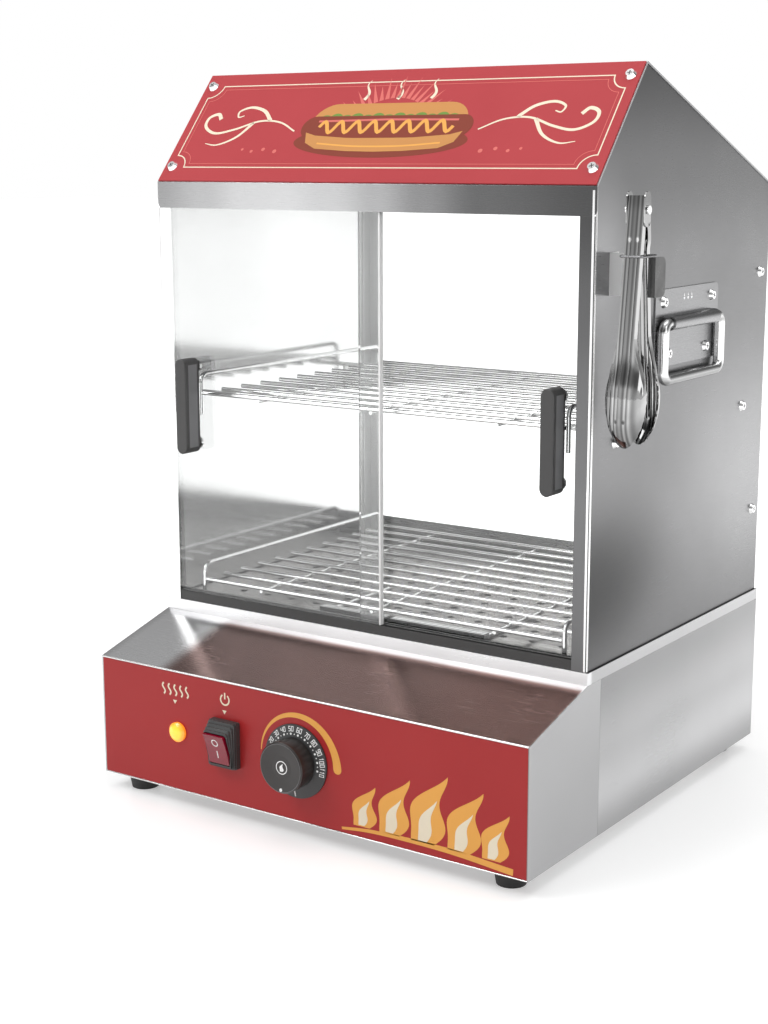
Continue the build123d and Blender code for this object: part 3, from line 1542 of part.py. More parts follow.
with BuildPart() as tongs_ring:
    ring_z = notch_z + ring_wire_radius + running
    ring_drop = tongs_pin_z - ring_z
    ring_front_y = tongs_y - web_reach / cos(radians(front_lean)) - ring_drop * tan(radians(front_lean))
    ring_near = ring_front_y - ring_wire_radius - 2 * running
    ring_far = holder_front_y + sheet + ring_wire_radius + running
    ring_half = hinge_half_width + ring_wire_radius + ring_side_gap
    with BuildLine() as ring_path:
        FilletPolyline(
            (tongs_x - ring_half, ring_near, ring_z),
            (tongs_x + ring_half, ring_near, ring_z),
            (tongs_x + ring_half, ring_far, ring_z),
            (tongs_x - ring_half, ring_far, ring_z),
            radius=ring_bend,
            close=True,
        )
    ring_start = ring_path.line @ 0
    with BuildSketch(Plane(origin=ring_start, z_dir=ring_path.line % 0)):
        Circle(ring_wire_radius)
    sweep()
finish(tongs_ring, "tongs_ring")
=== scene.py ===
"""Looks, light and camera for the hot dog steamer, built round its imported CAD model. Units are metres."""
from math import atan2, cos, pi, radians, sin, sqrt, tan

import bmesh
import bpy
from mathutils import Matrix, Vector
from mathutils.bvhtree import BVHTree


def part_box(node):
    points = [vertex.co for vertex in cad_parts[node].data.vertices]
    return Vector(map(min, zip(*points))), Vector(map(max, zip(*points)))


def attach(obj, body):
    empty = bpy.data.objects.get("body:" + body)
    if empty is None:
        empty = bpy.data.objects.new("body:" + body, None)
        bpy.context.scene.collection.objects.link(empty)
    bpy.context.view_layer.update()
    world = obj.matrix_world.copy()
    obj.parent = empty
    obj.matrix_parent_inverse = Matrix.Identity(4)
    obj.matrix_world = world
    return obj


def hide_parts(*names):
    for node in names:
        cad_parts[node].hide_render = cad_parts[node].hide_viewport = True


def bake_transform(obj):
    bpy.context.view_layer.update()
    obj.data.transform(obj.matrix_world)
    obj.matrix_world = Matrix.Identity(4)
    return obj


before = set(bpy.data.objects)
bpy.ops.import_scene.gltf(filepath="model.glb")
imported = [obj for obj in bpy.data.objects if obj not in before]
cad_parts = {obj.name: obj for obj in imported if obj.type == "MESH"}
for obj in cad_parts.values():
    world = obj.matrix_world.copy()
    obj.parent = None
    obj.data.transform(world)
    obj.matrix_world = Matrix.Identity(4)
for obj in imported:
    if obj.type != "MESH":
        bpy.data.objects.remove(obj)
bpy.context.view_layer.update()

MM = 0.001

# ---------------------------------------------------------------- places read from the frame
FRONT_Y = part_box("fascia_panel")[0].y
BASE_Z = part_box("control_housing")[0].z
FLOOR_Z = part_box("rubber_feet")[0].z
PANEL_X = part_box("right_side_panel")[1].x
SIGN_LOW, SIGN_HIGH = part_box("sign_plate")


# ================================================================ small mesh tools
def link(obj):
    bpy.context.scene.collection.objects.link(obj)
    return obj


def mesh_object(name, verts, faces, mat, smooth=0):
    """A mesh object from plain lists, with its normals facing out."""
    mesh = bpy.data.meshes.new(name)
    mesh.from_pydata([tuple(v) for v in verts], [], faces)
    bm = bmesh.new()
    bm.from_mesh(mesh)
    bmesh.ops.remove_doubles(bm, verts=bm.verts, dist=1e-7)
    bmesh.ops.recalc_face_normals(bm, faces=bm.faces)
    bm.to_mesh(mesh)
    bm.free()
    obj = link(bpy.data.objects.new(name, mesh))
    mesh.materials.append(mat)
    if smooth:
        shade(obj, smooth)
    return obj


def shade(obj, angle):
    """Smooth shading with edges sharper than angle kept crisp."""
    mesh = obj.data
    mesh.polygons.foreach_set("use_smooth", [True] * len(mesh.polygons))
    bm = bmesh.new()
    bm.from_mesh(mesh)
    limit = radians(angle)
    for edge in bm.edges:
        edge.smooth = len(edge.link_faces) == 2 and edge.calc_face_angle(0) < limit
    bm.to_mesh(mesh)
    bm.free()


def tube(name, points, radius, mat, sides):
    """Round bar along points."""
    points = [Vector(p) for p in points]
    count = len(points)
    verts, faces = [], []
    normal = None
    for i, point in enumerate(points):
        ahead = points[min(i + 1, count - 1)]
        behind = points[max(i - 1, 0)]
        tangent = (ahead - behind).normalized()
        if normal is None:
            normal = Vector((1, 0, 0)) if abs(tangent.z) > 0.9 else Vector((0, 0, 1))
        normal = (normal - tangent * normal.dot(tangent)).normalized()
        side = tangent.cross(normal)
        for k in range(sides):
            turn = 2 * pi * k / sides
            verts.append(point + side * radius * cos(turn) + normal * radius * sin(turn))
    for a in range(0, (count - 1) * sides, sides):
        for k in range(sides):
            m = (k + 1) % sides
            faces.append((a + k, a + m, a + sides + m, a + sides + k))
    faces.append(tuple(range(sides)))
    faces.append(tuple(range((count - 1) * sides, count * sides)))
    return mesh_object(name, verts, faces, mat, 50)


def plate_from_outline(name, outline, place, thickness, mat, smooth):
    """Flat plate: a 2-D outline on the XY plane of the matrix place, thickened along its Z."""
    count = len(outline)
    verts = [place @ Vector((x, y, 0)) for x, y in outline]
    verts += [place @ Vector((x, y, thickness)) for x, y in outline]
    faces = [tuple(range(count)), tuple(range(count, 2 * count))]
    faces += [(i, (i + 1) % count, count + (i + 1) % count, count + i) for i in range(count)]
    return mesh_object(name, verts, faces, mat, smooth)


def join(name, pieces):
    """Merge mesh objects of one material into one."""
    bm = bmesh.new()
    for piece in pieces:
        bm.from_mesh(piece.data)
    mesh = bpy.data.meshes.new(name)
    bm.to_mesh(mesh)
    bm.free()
    mesh.materials.append(pieces[0].data.materials[0])
    for piece in pieces:
        bpy.data.objects.remove(piece)
    return link(bpy.data.objects.new(name, mesh))


# ================================================================ 2-D outlines for printed marks
def circle_points(x, y, radius, count, start=0.0, sweep=2 * pi):
    closed = abs(sweep - 2 * pi) < 1e-6
    steps = count if closed else count - 1
    return [
        (x + radius * cos(start + sweep * i / steps), y + radius * sin(start + sweep * i / steps))
        for i in range(count)
    ]


def stroke(points, width, end_width, caps):
    """Outline of a pen stroke with round ends; width may grow along it."""
    points = [Vector(p) for p in points]
    count = len(points)
    left, right = [], []
    for i, point in enumerate(points):
        ahead = points[min(i + 1, count - 1)]
        behind = points[max(i - 1, 0)]
        along = (ahead - behind).normalized()
        half = (width + (end_width - width) * i / (count - 1)) / 2
        across = Vector((-along.y, along.x)) * half
        left.append(point + across)
        right.append(point - across)

    def cap(centre, rim, half):
        start = atan2(rim.y - centre.y, rim.x - centre.x)
        return [
            Vector((centre.x + half * cos(start - pi * k / caps), centre.y + half * sin(start - pi * k / caps)))
            for k in range(1, caps)
        ]

    outline = left + cap(points[-1], left[-1], end_width / 2) + right[::-1]
    outline += cap(points[0], right[0], width / 2)
    return [tuple(p) for p in outline]


def smooth_line(points):
    """Catmull-Rom curve through a few points."""
    points = [Vector(p) for p in points]
    padded = [2 * points[0] - points[1]] + points + [2 * points[-1] - points[-2]]
    out = []
    for i in range(1, len(padded) - 2):
        p0, p1, p2, p3 = padded[i - 1 : i + 3]
        for k in range(8):
            t = k / 8
            out.append(
                0.5 * (2 * p1 + (p2 - p0) * t + (2 * p0 - 5 * p1 + 4 * p2 - p3) * t**2
                       + (3 * p1 - p0 - 3 * p2 + p3) * t**3)
            )
    return out + [points[-1]]


# ================================================================ materials
STEEL_CLOUDING, INK_CLOUDING = 0.06, 0.05     # how much the darker clouds lose
STEEL_BEND = 0.0004                           # radius at folded edges, in metres
GLASS_IOR = 1.5


class Graph:
    """A node tree whose nodes are made with their inputs filled in."""

    def __init__(self, node_tree):
        self.nodes, self.links = node_tree.nodes, node_tree.links

    def new(self, kind, inputs):
        node = self.nodes.new("ShaderNode" + kind)
        self.fill(node, inputs)
        return node

    def fill(self, node, inputs):
        """Give inputs, by name or number, an output that feeds them or a value of their own."""
        for key, value in inputs.items():
            if isinstance(value, bpy.types.NodeSocket):
                self.links.new(value, node.inputs[key])
            else:
                node.inputs[key].default_value = value


def tree(name):
    """A new material with a Principled surface: (material, graph, surface)."""
    mat = bpy.data.materials.new(name)
    mat.use_nodes = True
    graph = Graph(mat.node_tree)
    return mat, graph, graph.nodes["Principled BSDF"]


def object_coords(g, scale):
    coords = g.new("TexCoord", {})
    return g.new("Mapping", {"Scale": scale, "Vector": coords.outputs["Object"]}).outputs["Vector"]


def noise(g, vector, detail):
    return g.new("TexNoise", {"Scale": 1.0, "Detail": detail, "Roughness": 0.55, "Vector": vector}).outputs["Fac"]


def remap(g, value, low, high, from_low=0.3, from_high=0.7):
    ends = {"From Min": from_low, "From Max": from_high, "To Min": low, "To Max": high}
    return g.new("MapRange", {**ends, "Value": value}).outputs["Result"]


def two_colours(g, factor, first, second):
    """Mix of two colours; the first may be an output."""
    node = g.new("Mix", {})
    node.data_type = "RGBA"
    first = (*first, 1) if isinstance(first, tuple) else first
    g.fill(node, {"A": first, "B": (*second, 1), "Factor": factor})
    return node.outputs["Result"]


def edge_normal(g, radius):
    """Normal that rounds the edges of folded sheet by a small radius."""
    node = g.new("Bevel", {"Radius": radius})
    node.samples = 4
    return node.outputs["Normal"]


def bump(g, height, strength, distance, normal=None):
    node = g.new("Bump", {"Strength": strength, "Distance": distance, "Height": height})
    if normal:
        g.fill(node, {"Normal": normal})
    return node.outputs["Normal"]


def maths(g, operation, *values):
    """One Math node; each value is an output or a number."""
    node = g.new("Math", dict(enumerate(values)))
    node.operation = operation
    return node.outputs[0]


def multiply(g, first, second):
    return maths(g, "MULTIPLY", first, second)


def scaled(g, colour, factor):
    """A colour, or an output that carries one, times a grey factor."""
    node = g.new("VectorMath", {})
    node.operation = "SCALE"
    g.fill(node, {0: colour, "Scale": factor})
    return node.outputs["Vector"]


def coords_axis(g, space, axis):
    split = g.new("SeparateXYZ", {0: g.new("TexCoord", {}).outputs[space]})
    return split.outputs["XYZ".index(axis)]


def grey_ramp(g, place, stops, interpolation="LINEAR"):
    """Colour ramp in greys: stops are (place from 0 to 1, grey)."""
    node = g.new("ValToRGB", {"Fac": place})
    ramp = node.color_ramp
    ramp.interpolation = interpolation
    while len(ramp.elements) < len(stops):
        ramp.elements.new(0.5)
    for element, (at, grey) in zip(ramp.elements, stops):
        element.position = at
        element.color = (grey, grey, grey, 1)
    return node.outputs["Color"]


def along(g, axis, stops):
    """Grey factor that follows one object axis: stops are (place in mm, factor)."""
    first, last = stops[0][0], stops[-1][0]
    place = remap(g, coords_axis(g, "Object", axis), 0, 1, first * MM, last * MM)
    top = max(factor for _, factor in stops)
    stops = [((at - first) / (last - first), factor / top) for at, factor in stops]
    return remap(g, grey_ramp(g, place, stops, "EASE"), 0, top, 0, 1)


def spot(g, centre, radii, factor):
    """Factor at the centre that fades to 1 at the radii, in mm; a radius of 0 leaves that axis out."""
    scale = [1 / (radius * MM) if radius else 0 for radius in radii]
    shift = [-c * MM * k for c, k in zip(centre, scale)]
    coords = g.new("TexCoord", {}).outputs["Object"]
    mapping = g.new("Mapping", {"Scale": scale, "Location": shift, "Vector": coords})
    distance = g.new("VectorMath", {0: mapping.outputs["Vector"]})
    distance.operation = "LENGTH"
    fade = g.new("MapRange", {"To Min": factor, "To Max": 1.0, "Value": distance.outputs["Value"]})
    fade.interpolation_type = "SMOOTHERSTEP"
    return fade.outputs["Result"]


def only_where(g, value, axis, inside, outside):
    """The factor at the place inside, fading to 1 at the place outside, in mm along one axis."""
    share = remap(g, coords_axis(g, "Object", axis), 0, 1, inside * MM, outside * MM)
    return g.new("Mix", {"A": value, "B": 1.0, "Factor": share}).outputs["Result"]


def steel(name, colour, rough, grain=(60, 1500, 1500), depth=0.00002, tones=(), painted_reflection=None):
    """Stainless sheet: brushed grain along one direction, slow clouding, softened edges, a painted reflection mixed
    in where given, and tone factors that paint reflected light and shade into its colour.
    """
    mat, g, surface = tree(name)
    fine = noise(g, object_coords(g, grain), 2.0)
    cloud = noise(g, object_coords(g, (9, 9, 9)), 3.0)
    darker = tuple(c * (1 - STEEL_CLOUDING) for c in colour)
    base = two_colours(g, remap(g, cloud, 0, 1), colour, darker)
    # Painted reflection: a colour mixed into the base where its mask says.
    if painted_reflection:
        base = two_colours(g, painted_reflection[1](g), base, painted_reflection[0])
    # Tone factors: painted reflected light and painted shade multiplied into the colour.
    for tone in tones:
        base = scaled(g, base, tone(g))
    mixed = maths(g, "MULTIPLY_ADD", fine, 0.5, multiply(g, cloud, 0.5))
    g.fill(surface, {
        "Base Color": base,
        "Roughness": remap(g, mixed, rough * 0.85, rough * 1.2),
        "Metallic": 1.0,
        "Anisotropic": 0.3,
        "Normal": bump(g, fine, 0.25, depth, edge_normal(g, STEEL_BEND)),
    })
    return mat


def polished(name, colour, rough, waviness=0.00006, scale=90, tone=None, metallic=1.0):
    """Bright pressed or drawn steel with slight waviness; a tone factor, where given, paints reflected light and
    shade into its colour.
    """
    mat, g, surface = tree(name)
    wave = noise(g, object_coords(g, (scale, scale, scale)), 2.0)
    g.fill(surface, {
        "Base Color": scaled(g, colour, tone(g)) if tone else (*colour, 1),
        "Metallic": metallic,
        "Roughness": remap(g, wave, rough * 0.7, rough * 1.5),
        "Normal": bump(g, wave, 0.25, waviness),
    })
    return mat


def plastic(name, colour, rough, texture=900, depth=0.00003, coat=0.0, bevel=0.0):
    """Moulded plastic or rubber with a fine moulded texture."""
    mat, g, surface = tree(name)
    fine = noise(g, object_coords(g, (texture, texture, texture)), 2.0)
    cloud = noise(g, object_coords(g, (30, 30, 30)), 3.0)
    lighter = tuple(min(1, c * 1.25 + 0.002) for c in colour)
    g.fill(surface, {
        "Base Color": two_colours(g, remap(g, cloud, 0, 1), colour, lighter),
        "Roughness": remap(g, cloud, rough * 0.85, rough * 1.15),
        "Coat Weight": coat,
        "Normal": bump(g, fine, 0.3, depth, edge_normal(g, bevel) if bevel else None),
    })
    return mat


def printed(name, colour, coat, rough=0.38):
    """Screen-printed enamel: even colour with a faint orange peel."""
    mat, g, surface = tree(name)
    peel = noise(g, object_coords(g, (420, 420, 420)), 2.0)
    cloud = noise(g, object_coords(g, (14, 14, 14)), 3.0)
    darker = tuple(c * (1 - INK_CLOUDING) for c in colour)
    g.fill(surface, {
        "Base Color": two_colours(g, remap(g, cloud, 0, 1), colour, darker),
        "Roughness": remap(g, cloud, rough * 0.9, rough * 1.1),
        "Specular IOR Level": 0.3,
        "Coat Weight": coat,
        "Coat Roughness": 0.15,
        "Normal": bump(g, peel, 0.12, 0.00003),
    })
    return mat


def mix_shaders(g, factor, first, second):
    return g.new("MixShader", {"Fac": factor, 1: first, 2: second}).outputs[0]


def clear(name, colour):
    """Clear solid that lets light through; its shadow is almost clear too."""
    mat, g, surface = tree(name)
    smear = noise(g, object_coords(g, (12, 12, 12)), 3.0)
    g.fill(surface, {
        "Roughness": remap(g, smear, 0, 0.012),
        "Base Color": (*colour, 1),
        "Transmission Weight": 1.0,
        "IOR": GLASS_IOR,
    })
    shadow = g.new("LightPath", {}).outputs["Is Shadow Ray"]
    see_through = g.new("BsdfTransparent", {"Color": (*colour, 1)})
    either = mix_shaders(g, shadow, surface.outputs["BSDF"], see_through.outputs["BSDF"])
    g.fill(g.nodes["Material Output"], {"Surface": either})
    return mat


def lit(name, colour, middle, rim, centre, radius, strength):
    """Translucent moulded lens with a lamp behind it: middle at its centre, rim at its edge (mm)."""
    mat, g, surface = tree(name)
    cells = g.new("TexVoronoi", {"Scale": 620, "Vector": object_coords(g, (1, 1, 1))})
    share = remap(g, spot(g, centre, (radius, 0, radius), 0.0), 0, 1, 0.55, 1.0)
    g.fill(surface, {
        "Base Color": (*colour, 1),
        "Roughness": 0.25,
        "Coat Weight": 0.6,
        "Emission Color": two_colours(g, share, middle, rim),
        "Emission Strength": strength,
        "Normal": bump(g, cells.outputs["Distance"], 0.3, 0.0002),
    })
    return mat


# Tone factors along the object's own axes, in mm: painted reflections, painted highlights and painted shade that
# stand for what the steel reflects in the photograph, and were fitted to its main view. The left post's last ones
# take its base colour above 1, which no real steel has.
POST_FACE, BEHIND = -112.0, -111.0      # the cabinet's front face and just behind it, along Y
# Header band across X: a painted reflection, lighter left of the middle and dark towards the right end.
HEADER_TONE = [
    (-199, 0.82), (-150, 1.13), (-112, 1.42), (-70, 1.46), (-25, 1.30), (15, 0.97), (55, 0.61), (105, 0.32),
    (199, 0.20)
]


def behind_front(tone):
    return lambda g: only_where(g, tone(g), "Y", BEHIND, POST_FACE)


def on_front(tone):
    return lambda g: only_where(g, tone(g), "Y", POST_FACE, BEHIND)


# Right side panel: painted reflection and shade, a rise and fall up the panel, a dark patch low at the front, bright
# patches further back and high at the front, and a darker front post.
SIDE_TONES = [
    behind_front(lambda g: along(g, "Z", [
        (135, 0.50), (175, 0.50), (260, 0.58), (330, 0.62), (430, 0.66), (500, 0.51), (575, 0.24)])),
    behind_front(lambda g: spot(g, (0, -110, 205), (0, 190, 95), 0.26)),
    behind_front(lambda g: spot(g, (0, 175, 255), (0, 230, 150), 1.7)),
    behind_front(lambda g: spot(g, (0, -112, 455), (0, 70, 90), 1.5)),
    on_front(lambda g: along(g, "Z", [(140, 0.45), (240, 0.46), (340, 0.43), (400, 0.35), (470, 0.25)])),
]
# Where the slope's painted food reflection lies: across X, and over the slope along Y, fading out at its front edge.
SLOPE_SHARE = [(-200, 0.0), (-143, 0.0), (-124, 0.92), (40, 0.95), (150, 1.0), (199.2, 1.0), (200, 0.0)]
SLOPE_DEPTH = [(-192, 1.0), (-121, 1.0), (-116, 0.3), (-112, 0.2)]
# Tongs: painted reflection, bright and dark streaks across X; the list after next makes them darker at both ends
# along Z.
REFLECTION_STREAKS = [
    (208, 0.8), (213, 0.45), (217.5, 0.5), (218.8, 1.0), (219.9, 0.28), (221.2, 0.85), (222.4, 0.38), (224.5, 0.62),
    (226.2, 0.3), (227.5, 0.95), (229.2, 0.35), (230.6, 0.9), (233, 0.4), (237, 0.65), (241, 0.9)
]
TONGS_TONES = [(305, 0.35), (325, 0.55), (345, 0.9), (470, 0.9), (480, 0.65)]
# Handle bails: painted reflection, bright and dark bands along Z.
BAIL_TONES = [
    (338, 0.5), (343, 0.28), (347, 0.6), (350, 1.0), (380, 1.0), (384, 0.5), (387, 0.75), (390, 0.30), (392, 0.55)
]
# Painted reflection of the food's reddish colour on the sloping top; the food itself is not modelled.
SLOPE_FOOD_REFLECTION = (0.131, 0.071, 0.061)     # the food's reddish reflection
# Painted highlight: the left end of the sloping top made lighter.
SLOPE_LEFT_HIGHLIGHT = [(-200, 1.0), (-190, 1.28), (-140, 1.28), (-124, 1.0), (200, 1.0)]


# Mask of the slope's painted food reflection.
def food_reflection_share(g):
    return multiply(g, along(g, "X", SLOPE_SHARE), along(g, "Y", SLOPE_DEPTH))


mats = {
    # Sloping housing: a painted food reflection on the slope and a painted highlight at its left end.
    "housing": steel("housing_steel", (0.46, 0.46, 0.465), 0.24, grain=(50, 2200, 2200),
                     painted_reflection=(SLOPE_FOOD_REFLECTION, food_reflection_share), tones=[lambda g: along(g, "X", SLOPE_LEFT_HIGHLIGHT)]),
    # Base: painted reflection and shade, lighter in a band low down and darker towards the top.
    "base": steel("base_steel", (0.47, 0.47, 0.475), 0.24, grain=(2200, 50, 2200), tones=[
        lambda g: along(g, "Z", [(13, 0.85), (45, 1.32), (80, 1.05), (134, 0.66)])]),
    # Deck: a painted highlight along its front edge.
    "deck": steel("deck_steel", (0.50, 0.50, 0.505), 0.30, grain=(50, 2200, 2200), tones=[
        lambda g: along(g, "Y", [(-113, 1.7), (-108, 1.7), (-104, 1.0), (194, 1.0)])]),
    # Right side panel: painted reflection and shade in its tones.
    "side": steel("side_steel", (0.335, 0.335, 0.34), 0.30, grain=(2200, 70, 2200), tones=SIDE_TONES),
    # Left side panel: its outside face darkened, painted shade, and its front post brightened above 1, a painted
    # highlight.
    "left_side": steel("left_side_steel", (0.72, 0.72, 0.72), 0.13, grain=(2200, 70, 2200), tones=[
        lambda g: along(g, "X", [(-198.4, 0.34), (-197.9, 0.34), (-197.5, 1.0), (-186, 1.0)]),
        on_front(lambda g: along(g, "Z", [(140, 1.9), (240, 1.6), (470, 1.3)]))]),
    # Roof: a painted reflection across the header band's front.
    "roof": steel("roof_steel", (0.43, 0.43, 0.435), 0.26, grain=(50, 2200, 2200), tones=[
        on_front(lambda g: along(g, "X", HEADER_TONE))]),
    "hidden": steel("inner_steel", (0.55, 0.55, 0.55), 0.32),
    # Perforated plate: darker than the other steel, a painted dark reflection.
    "plate": steel("plate_steel", (0.30, 0.29, 0.28), 0.16, grain=(300, 300, 300), depth=0.00008),
    "pan": steel("pan_steel", (0.5, 0.5, 0.5), 0.25),
    "wire": polished("bright_wire", (0.82, 0.82, 0.82), 0.07),
    "ring": polished("ring_wire", (0.20, 0.20, 0.205), 0.25),
    # Bright steel for rounded edges and the plates' drop marks, brighter than the sheets around them: painted
    # highlights.
    "edge": polished("edge_steel", (0.78, 0.78, 0.78), 0.12, waviness=0.00003),
    # Tongs holder: near white and barely metallic, a painted reflection of bright light; a painted tone darkens it
    # beyond 228 mm along X.
    "holder": polished("holder_steel", (0.90, 0.90, 0.90), 0.32, waviness=0.00003, metallic=0.1,
                       tone=lambda g: along(g, "X", [(198, 1.0), (226, 0.95), (228, 0.16), (234, 0.10)])),
    "handle_plate": steel("handle_plate_steel", (0.30, 0.30, 0.305), 0.28, grain=(2200, 70, 2200)),
    "screw": polished("bright_screw", (0.80, 0.80, 0.80), 0.10),
    # Handle bails: painted reflection bands along Z.
    "handle": polished("handle_steel", (0.80, 0.80, 0.80), 0.10, tone=lambda g: along(g, "Z", BAIL_TONES)),
    # Tongs: painted reflection streaks across X, darker at both ends along Z, painted as well.
    "tongs": polished("tongs_steel", (0.62, 0.62, 0.62), 0.07, waviness=0.00002, scale=60,
                      tone=lambda g: multiply(g, along(g, "X", REFLECTION_STREAKS), along(g, "Z", TONGS_TONES))),
    "element": steel("element_sheath", (0.16, 0.15, 0.14), 0.35),
    "copper": polished("copper", (0.75, 0.38, 0.22), 0.2),
    "brass": polished("plated_brass", (0.70, 0.66, 0.58), 0.18),
    "red": printed("fascia_red", (0.41, 0.021, 0.022), coat=0.08),
    "sign": printed("sign_red", (0.46, 0.040, 0.048), rough=0.5, coat=0.0),
    "cream": printed("cream_ink", (0.90, 0.80, 0.62), coat=0.0),
    "mustard": printed("mustard_ink", (0.88, 0.42, 0.085), coat=0.1),
    "pink": printed("pink_ink", (0.72, 0.16, 0.14), coat=0.0),
    "brown": printed("brown_ink", (0.24, 0.035, 0.015), coat=0.0),
    "tan": printed("tan_ink", (0.62, 0.28, 0.08), coat=0.0),
    "green": printed("green_ink", (0.16, 0.30, 0.05), coat=0.0),
    "black": plastic("black_plastic", (0.048, 0.047, 0.047), 0.42, bevel=0.0004),
    "knob": plastic("knob_black", (0.018, 0.015, 0.014), 0.32, texture=1400, coat=0.15),
    "dial": plastic("dial_black", (0.036, 0.036, 0.037), 0.42),
    "rubber": plastic("black_rubber", (0.014, 0.014, 0.014), 0.55, texture=700),
    "boot": plastic("boot_rubber", (0.050, 0.052, 0.052), 0.42, texture=700, bevel=0.0003),
    # Mid grey: a painted reflection on the door handles' sides, painted shade at the holder's folds, and the knob's
    # rim line.
    "grip": plastic("handle_side_grey", (0.16, 0.16, 0.165), 0.35),
    "white": plastic("white_ink", (0.85, 0.85, 0.83), 0.5),
    "seal": plastic("door_edge_white", (0.93, 0.93, 0.92), 0.25, texture=300, coat=0.3),
    "terminal": plastic("white_plastic", (0.75, 0.75, 0.70), 0.45),
    "lever": plastic("red_lever", (0.42, 0.02, 0.02), 0.35),
    "glass": clear("door_glass", (0.99, 0.997, 0.994)),
    "lamp": lit("lamp_yellow", (0.85, 0.45, 0.02), (0.88, 0.66, 0.07), (0.9, 0.16, 0.02),
                (-119.8, 0, 62.1), 9.5, 0.72),
    "rocker": plastic("rocker_red", (0.22, 0.002, 0.018), 0.22, texture=200, depth=0.00001, coat=0.15, bevel=0.0006),
}


DRESS = {
    "housing": "control_housing",
    "base": "base_shell",
    "deck": "deck_plate",
    "side": "right_side_panel",
    "left_side": "left_side_panel",
    "roof": "roof_shell rear_sill",
    "hidden": "bottom_plate rear_frame shelf_brackets thermostat_body lamp_body",
    "plate": "perforated_plate",
    "wire": "plate_handle tongs_pin tongs_spring bun_shelf bun_shelf_ends hot_dog_rack hot_dog_rack_ends",
    "holder": "tongs_holder",
    "pan": "water_pan",
    "ring": "tongs_ring",
    "screw": "foot_screws heater_nuts left_door_screws right_door_screws side_screws sign_screws knob_shaft",
    "handle_plate": "left_handle_plate right_handle_plate",
    "handle": "left_handle_bail right_handle_bail",
    "tongs": "tongs_front_arm tongs_rear_arm",
    "element": "heating_element",
    "copper": "temperature_probe",
    "brass": "drain_tap_body",
    "red": "fascia_panel",
    "sign": "sign_plate",
    "black": "switch_housing bottom_door_track top_door_track left_door_handle right_door_handle cord_gland",
    "knob": "knob",
    "dial": "dial_plate",
    "rubber": "rubber_feet rear_gasket",
    "boot": "switch_boot",
    "seal": "left_door_seal",
    "terminal": "terminal_block",
    "lever": "drain_lever",
    "glass": "left_door_glass right_door_glass rear_glass",
    "lamp": "lamp_lens",
    "rocker": "switch_rocker",
}
for mat, names in DRESS.items():
    for name in names.split():
        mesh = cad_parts[name].data
        mesh.materials.clear()
        mesh.materials.append(mats[mat])


# ================================================================ printed marks
def facing_front(x, z):
    """Print's plane in front of the machine, seen from the front; x and z in mm."""
    place = Matrix(((1, 0, 0), (0, 0, -1), (0, 1, 0))).to_4x4()
    place.translation = (x * MM, FRONT_Y - 0.03, z * MM)
    return place


def facing_side(y, z, side):
    """Print's plane beside the machine; side is 1 for the right one and -1 for the left one."""
    columns = Matrix(((0, side, 0), (0, 0, 1), (side, 0, 0)))
    place = columns.transposed().to_4x4()
    place.translation = (side * 0.24, y * MM, z * MM)
    return place


SIGN_LEAN = atan2(SIGN_HIGH.z - SIGN_LOW.z, SIGN_HIGH.y - SIGN_LOW.y)


def facing_sign(x, s):
    """Print's plane over the sloping sign: x across and s up the slope from its lower edge, in mm."""
    up = Vector((0, cos(SIGN_LEAN), sin(SIGN_LEAN)))
    out = Vector((0, -sin(SIGN_LEAN), cos(SIGN_LEAN)))
    place = Matrix((Vector((1, 0, 0)), up, out)).transposed().to_4x4()
    place.translation = Vector((x * MM, SIGN_LOW.y, SIGN_LOW.z)) + up * s * MM + out * 0.03
    return place


PRINT_REACH = 0.6       # how far a print is cast, in metres; the door handles are 0.4 m from their plane


def surface_of(node):
    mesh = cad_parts[node].data
    return BVHTree.FromPolygons([v.co for v in mesh.vertices], [tuple(p.vertices) for p in mesh.polygons])


def ribbon(points, width, end_width=None, closed=False):
    """Pen line as a row of quads with mitred corners; its width may change along it."""
    points = [Vector(p) for p in points]
    count = len(points)
    end_width = width if end_width is None else end_width
    left, right = [], []
    for i, point in enumerate(points):
        into = point - points[i - 1] if closed or i else points[1] - point
        out = points[(i + 1) % count] - point if closed or i < count - 1 else into
        into, out = into.normalized(), out.normalized()
        across = Vector((-(into + out).y, (into + out).x)).normalized()
        stretch = 1 / max(0.4, across.dot(Vector((-into.y, into.x))))
        half = (width + (end_width - width) * i / max(1, count - 1)) / 2 * stretch
        left.append(point + across * half)
        right.append(point - across * half)
    spans = count if closed else count - 1
    return [[left[i], left[(i + 1) % count], right[(i + 1) % count], right[i]] for i in range(spans)]


def disc(x, y, radius, count=28):
    return circle_points(x, y, radius, count)


def arc_line(x, y, radius, start, end, count=40, end_radius=None):
    """Points along an arc in degrees; the radius may change along it."""
    end_radius = radius if end_radius is None else end_radius
    points = []
    for i in range(count):
        share = i / (count - 1)
        turn = radians(start + (end - start) * share)
        reach = radius + (end_radius - radius) * share
        points.append((x + reach * cos(turn), y + reach * sin(turn)))
    return points


def moved(shapes, x, y, turn=0.0, scale=1.0):
    """Shapes scaled, then turned by degrees, then shifted."""
    c, k = cos(radians(turn)), sin(radians(turn))
    return [
        [(x + scale * (c * p[0] - k * p[1]), y + scale * (k * p[0] + c * p[1])) for p in shape]
        for shape in shapes
    ]


def ride(piece, body):
    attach(piece, body)


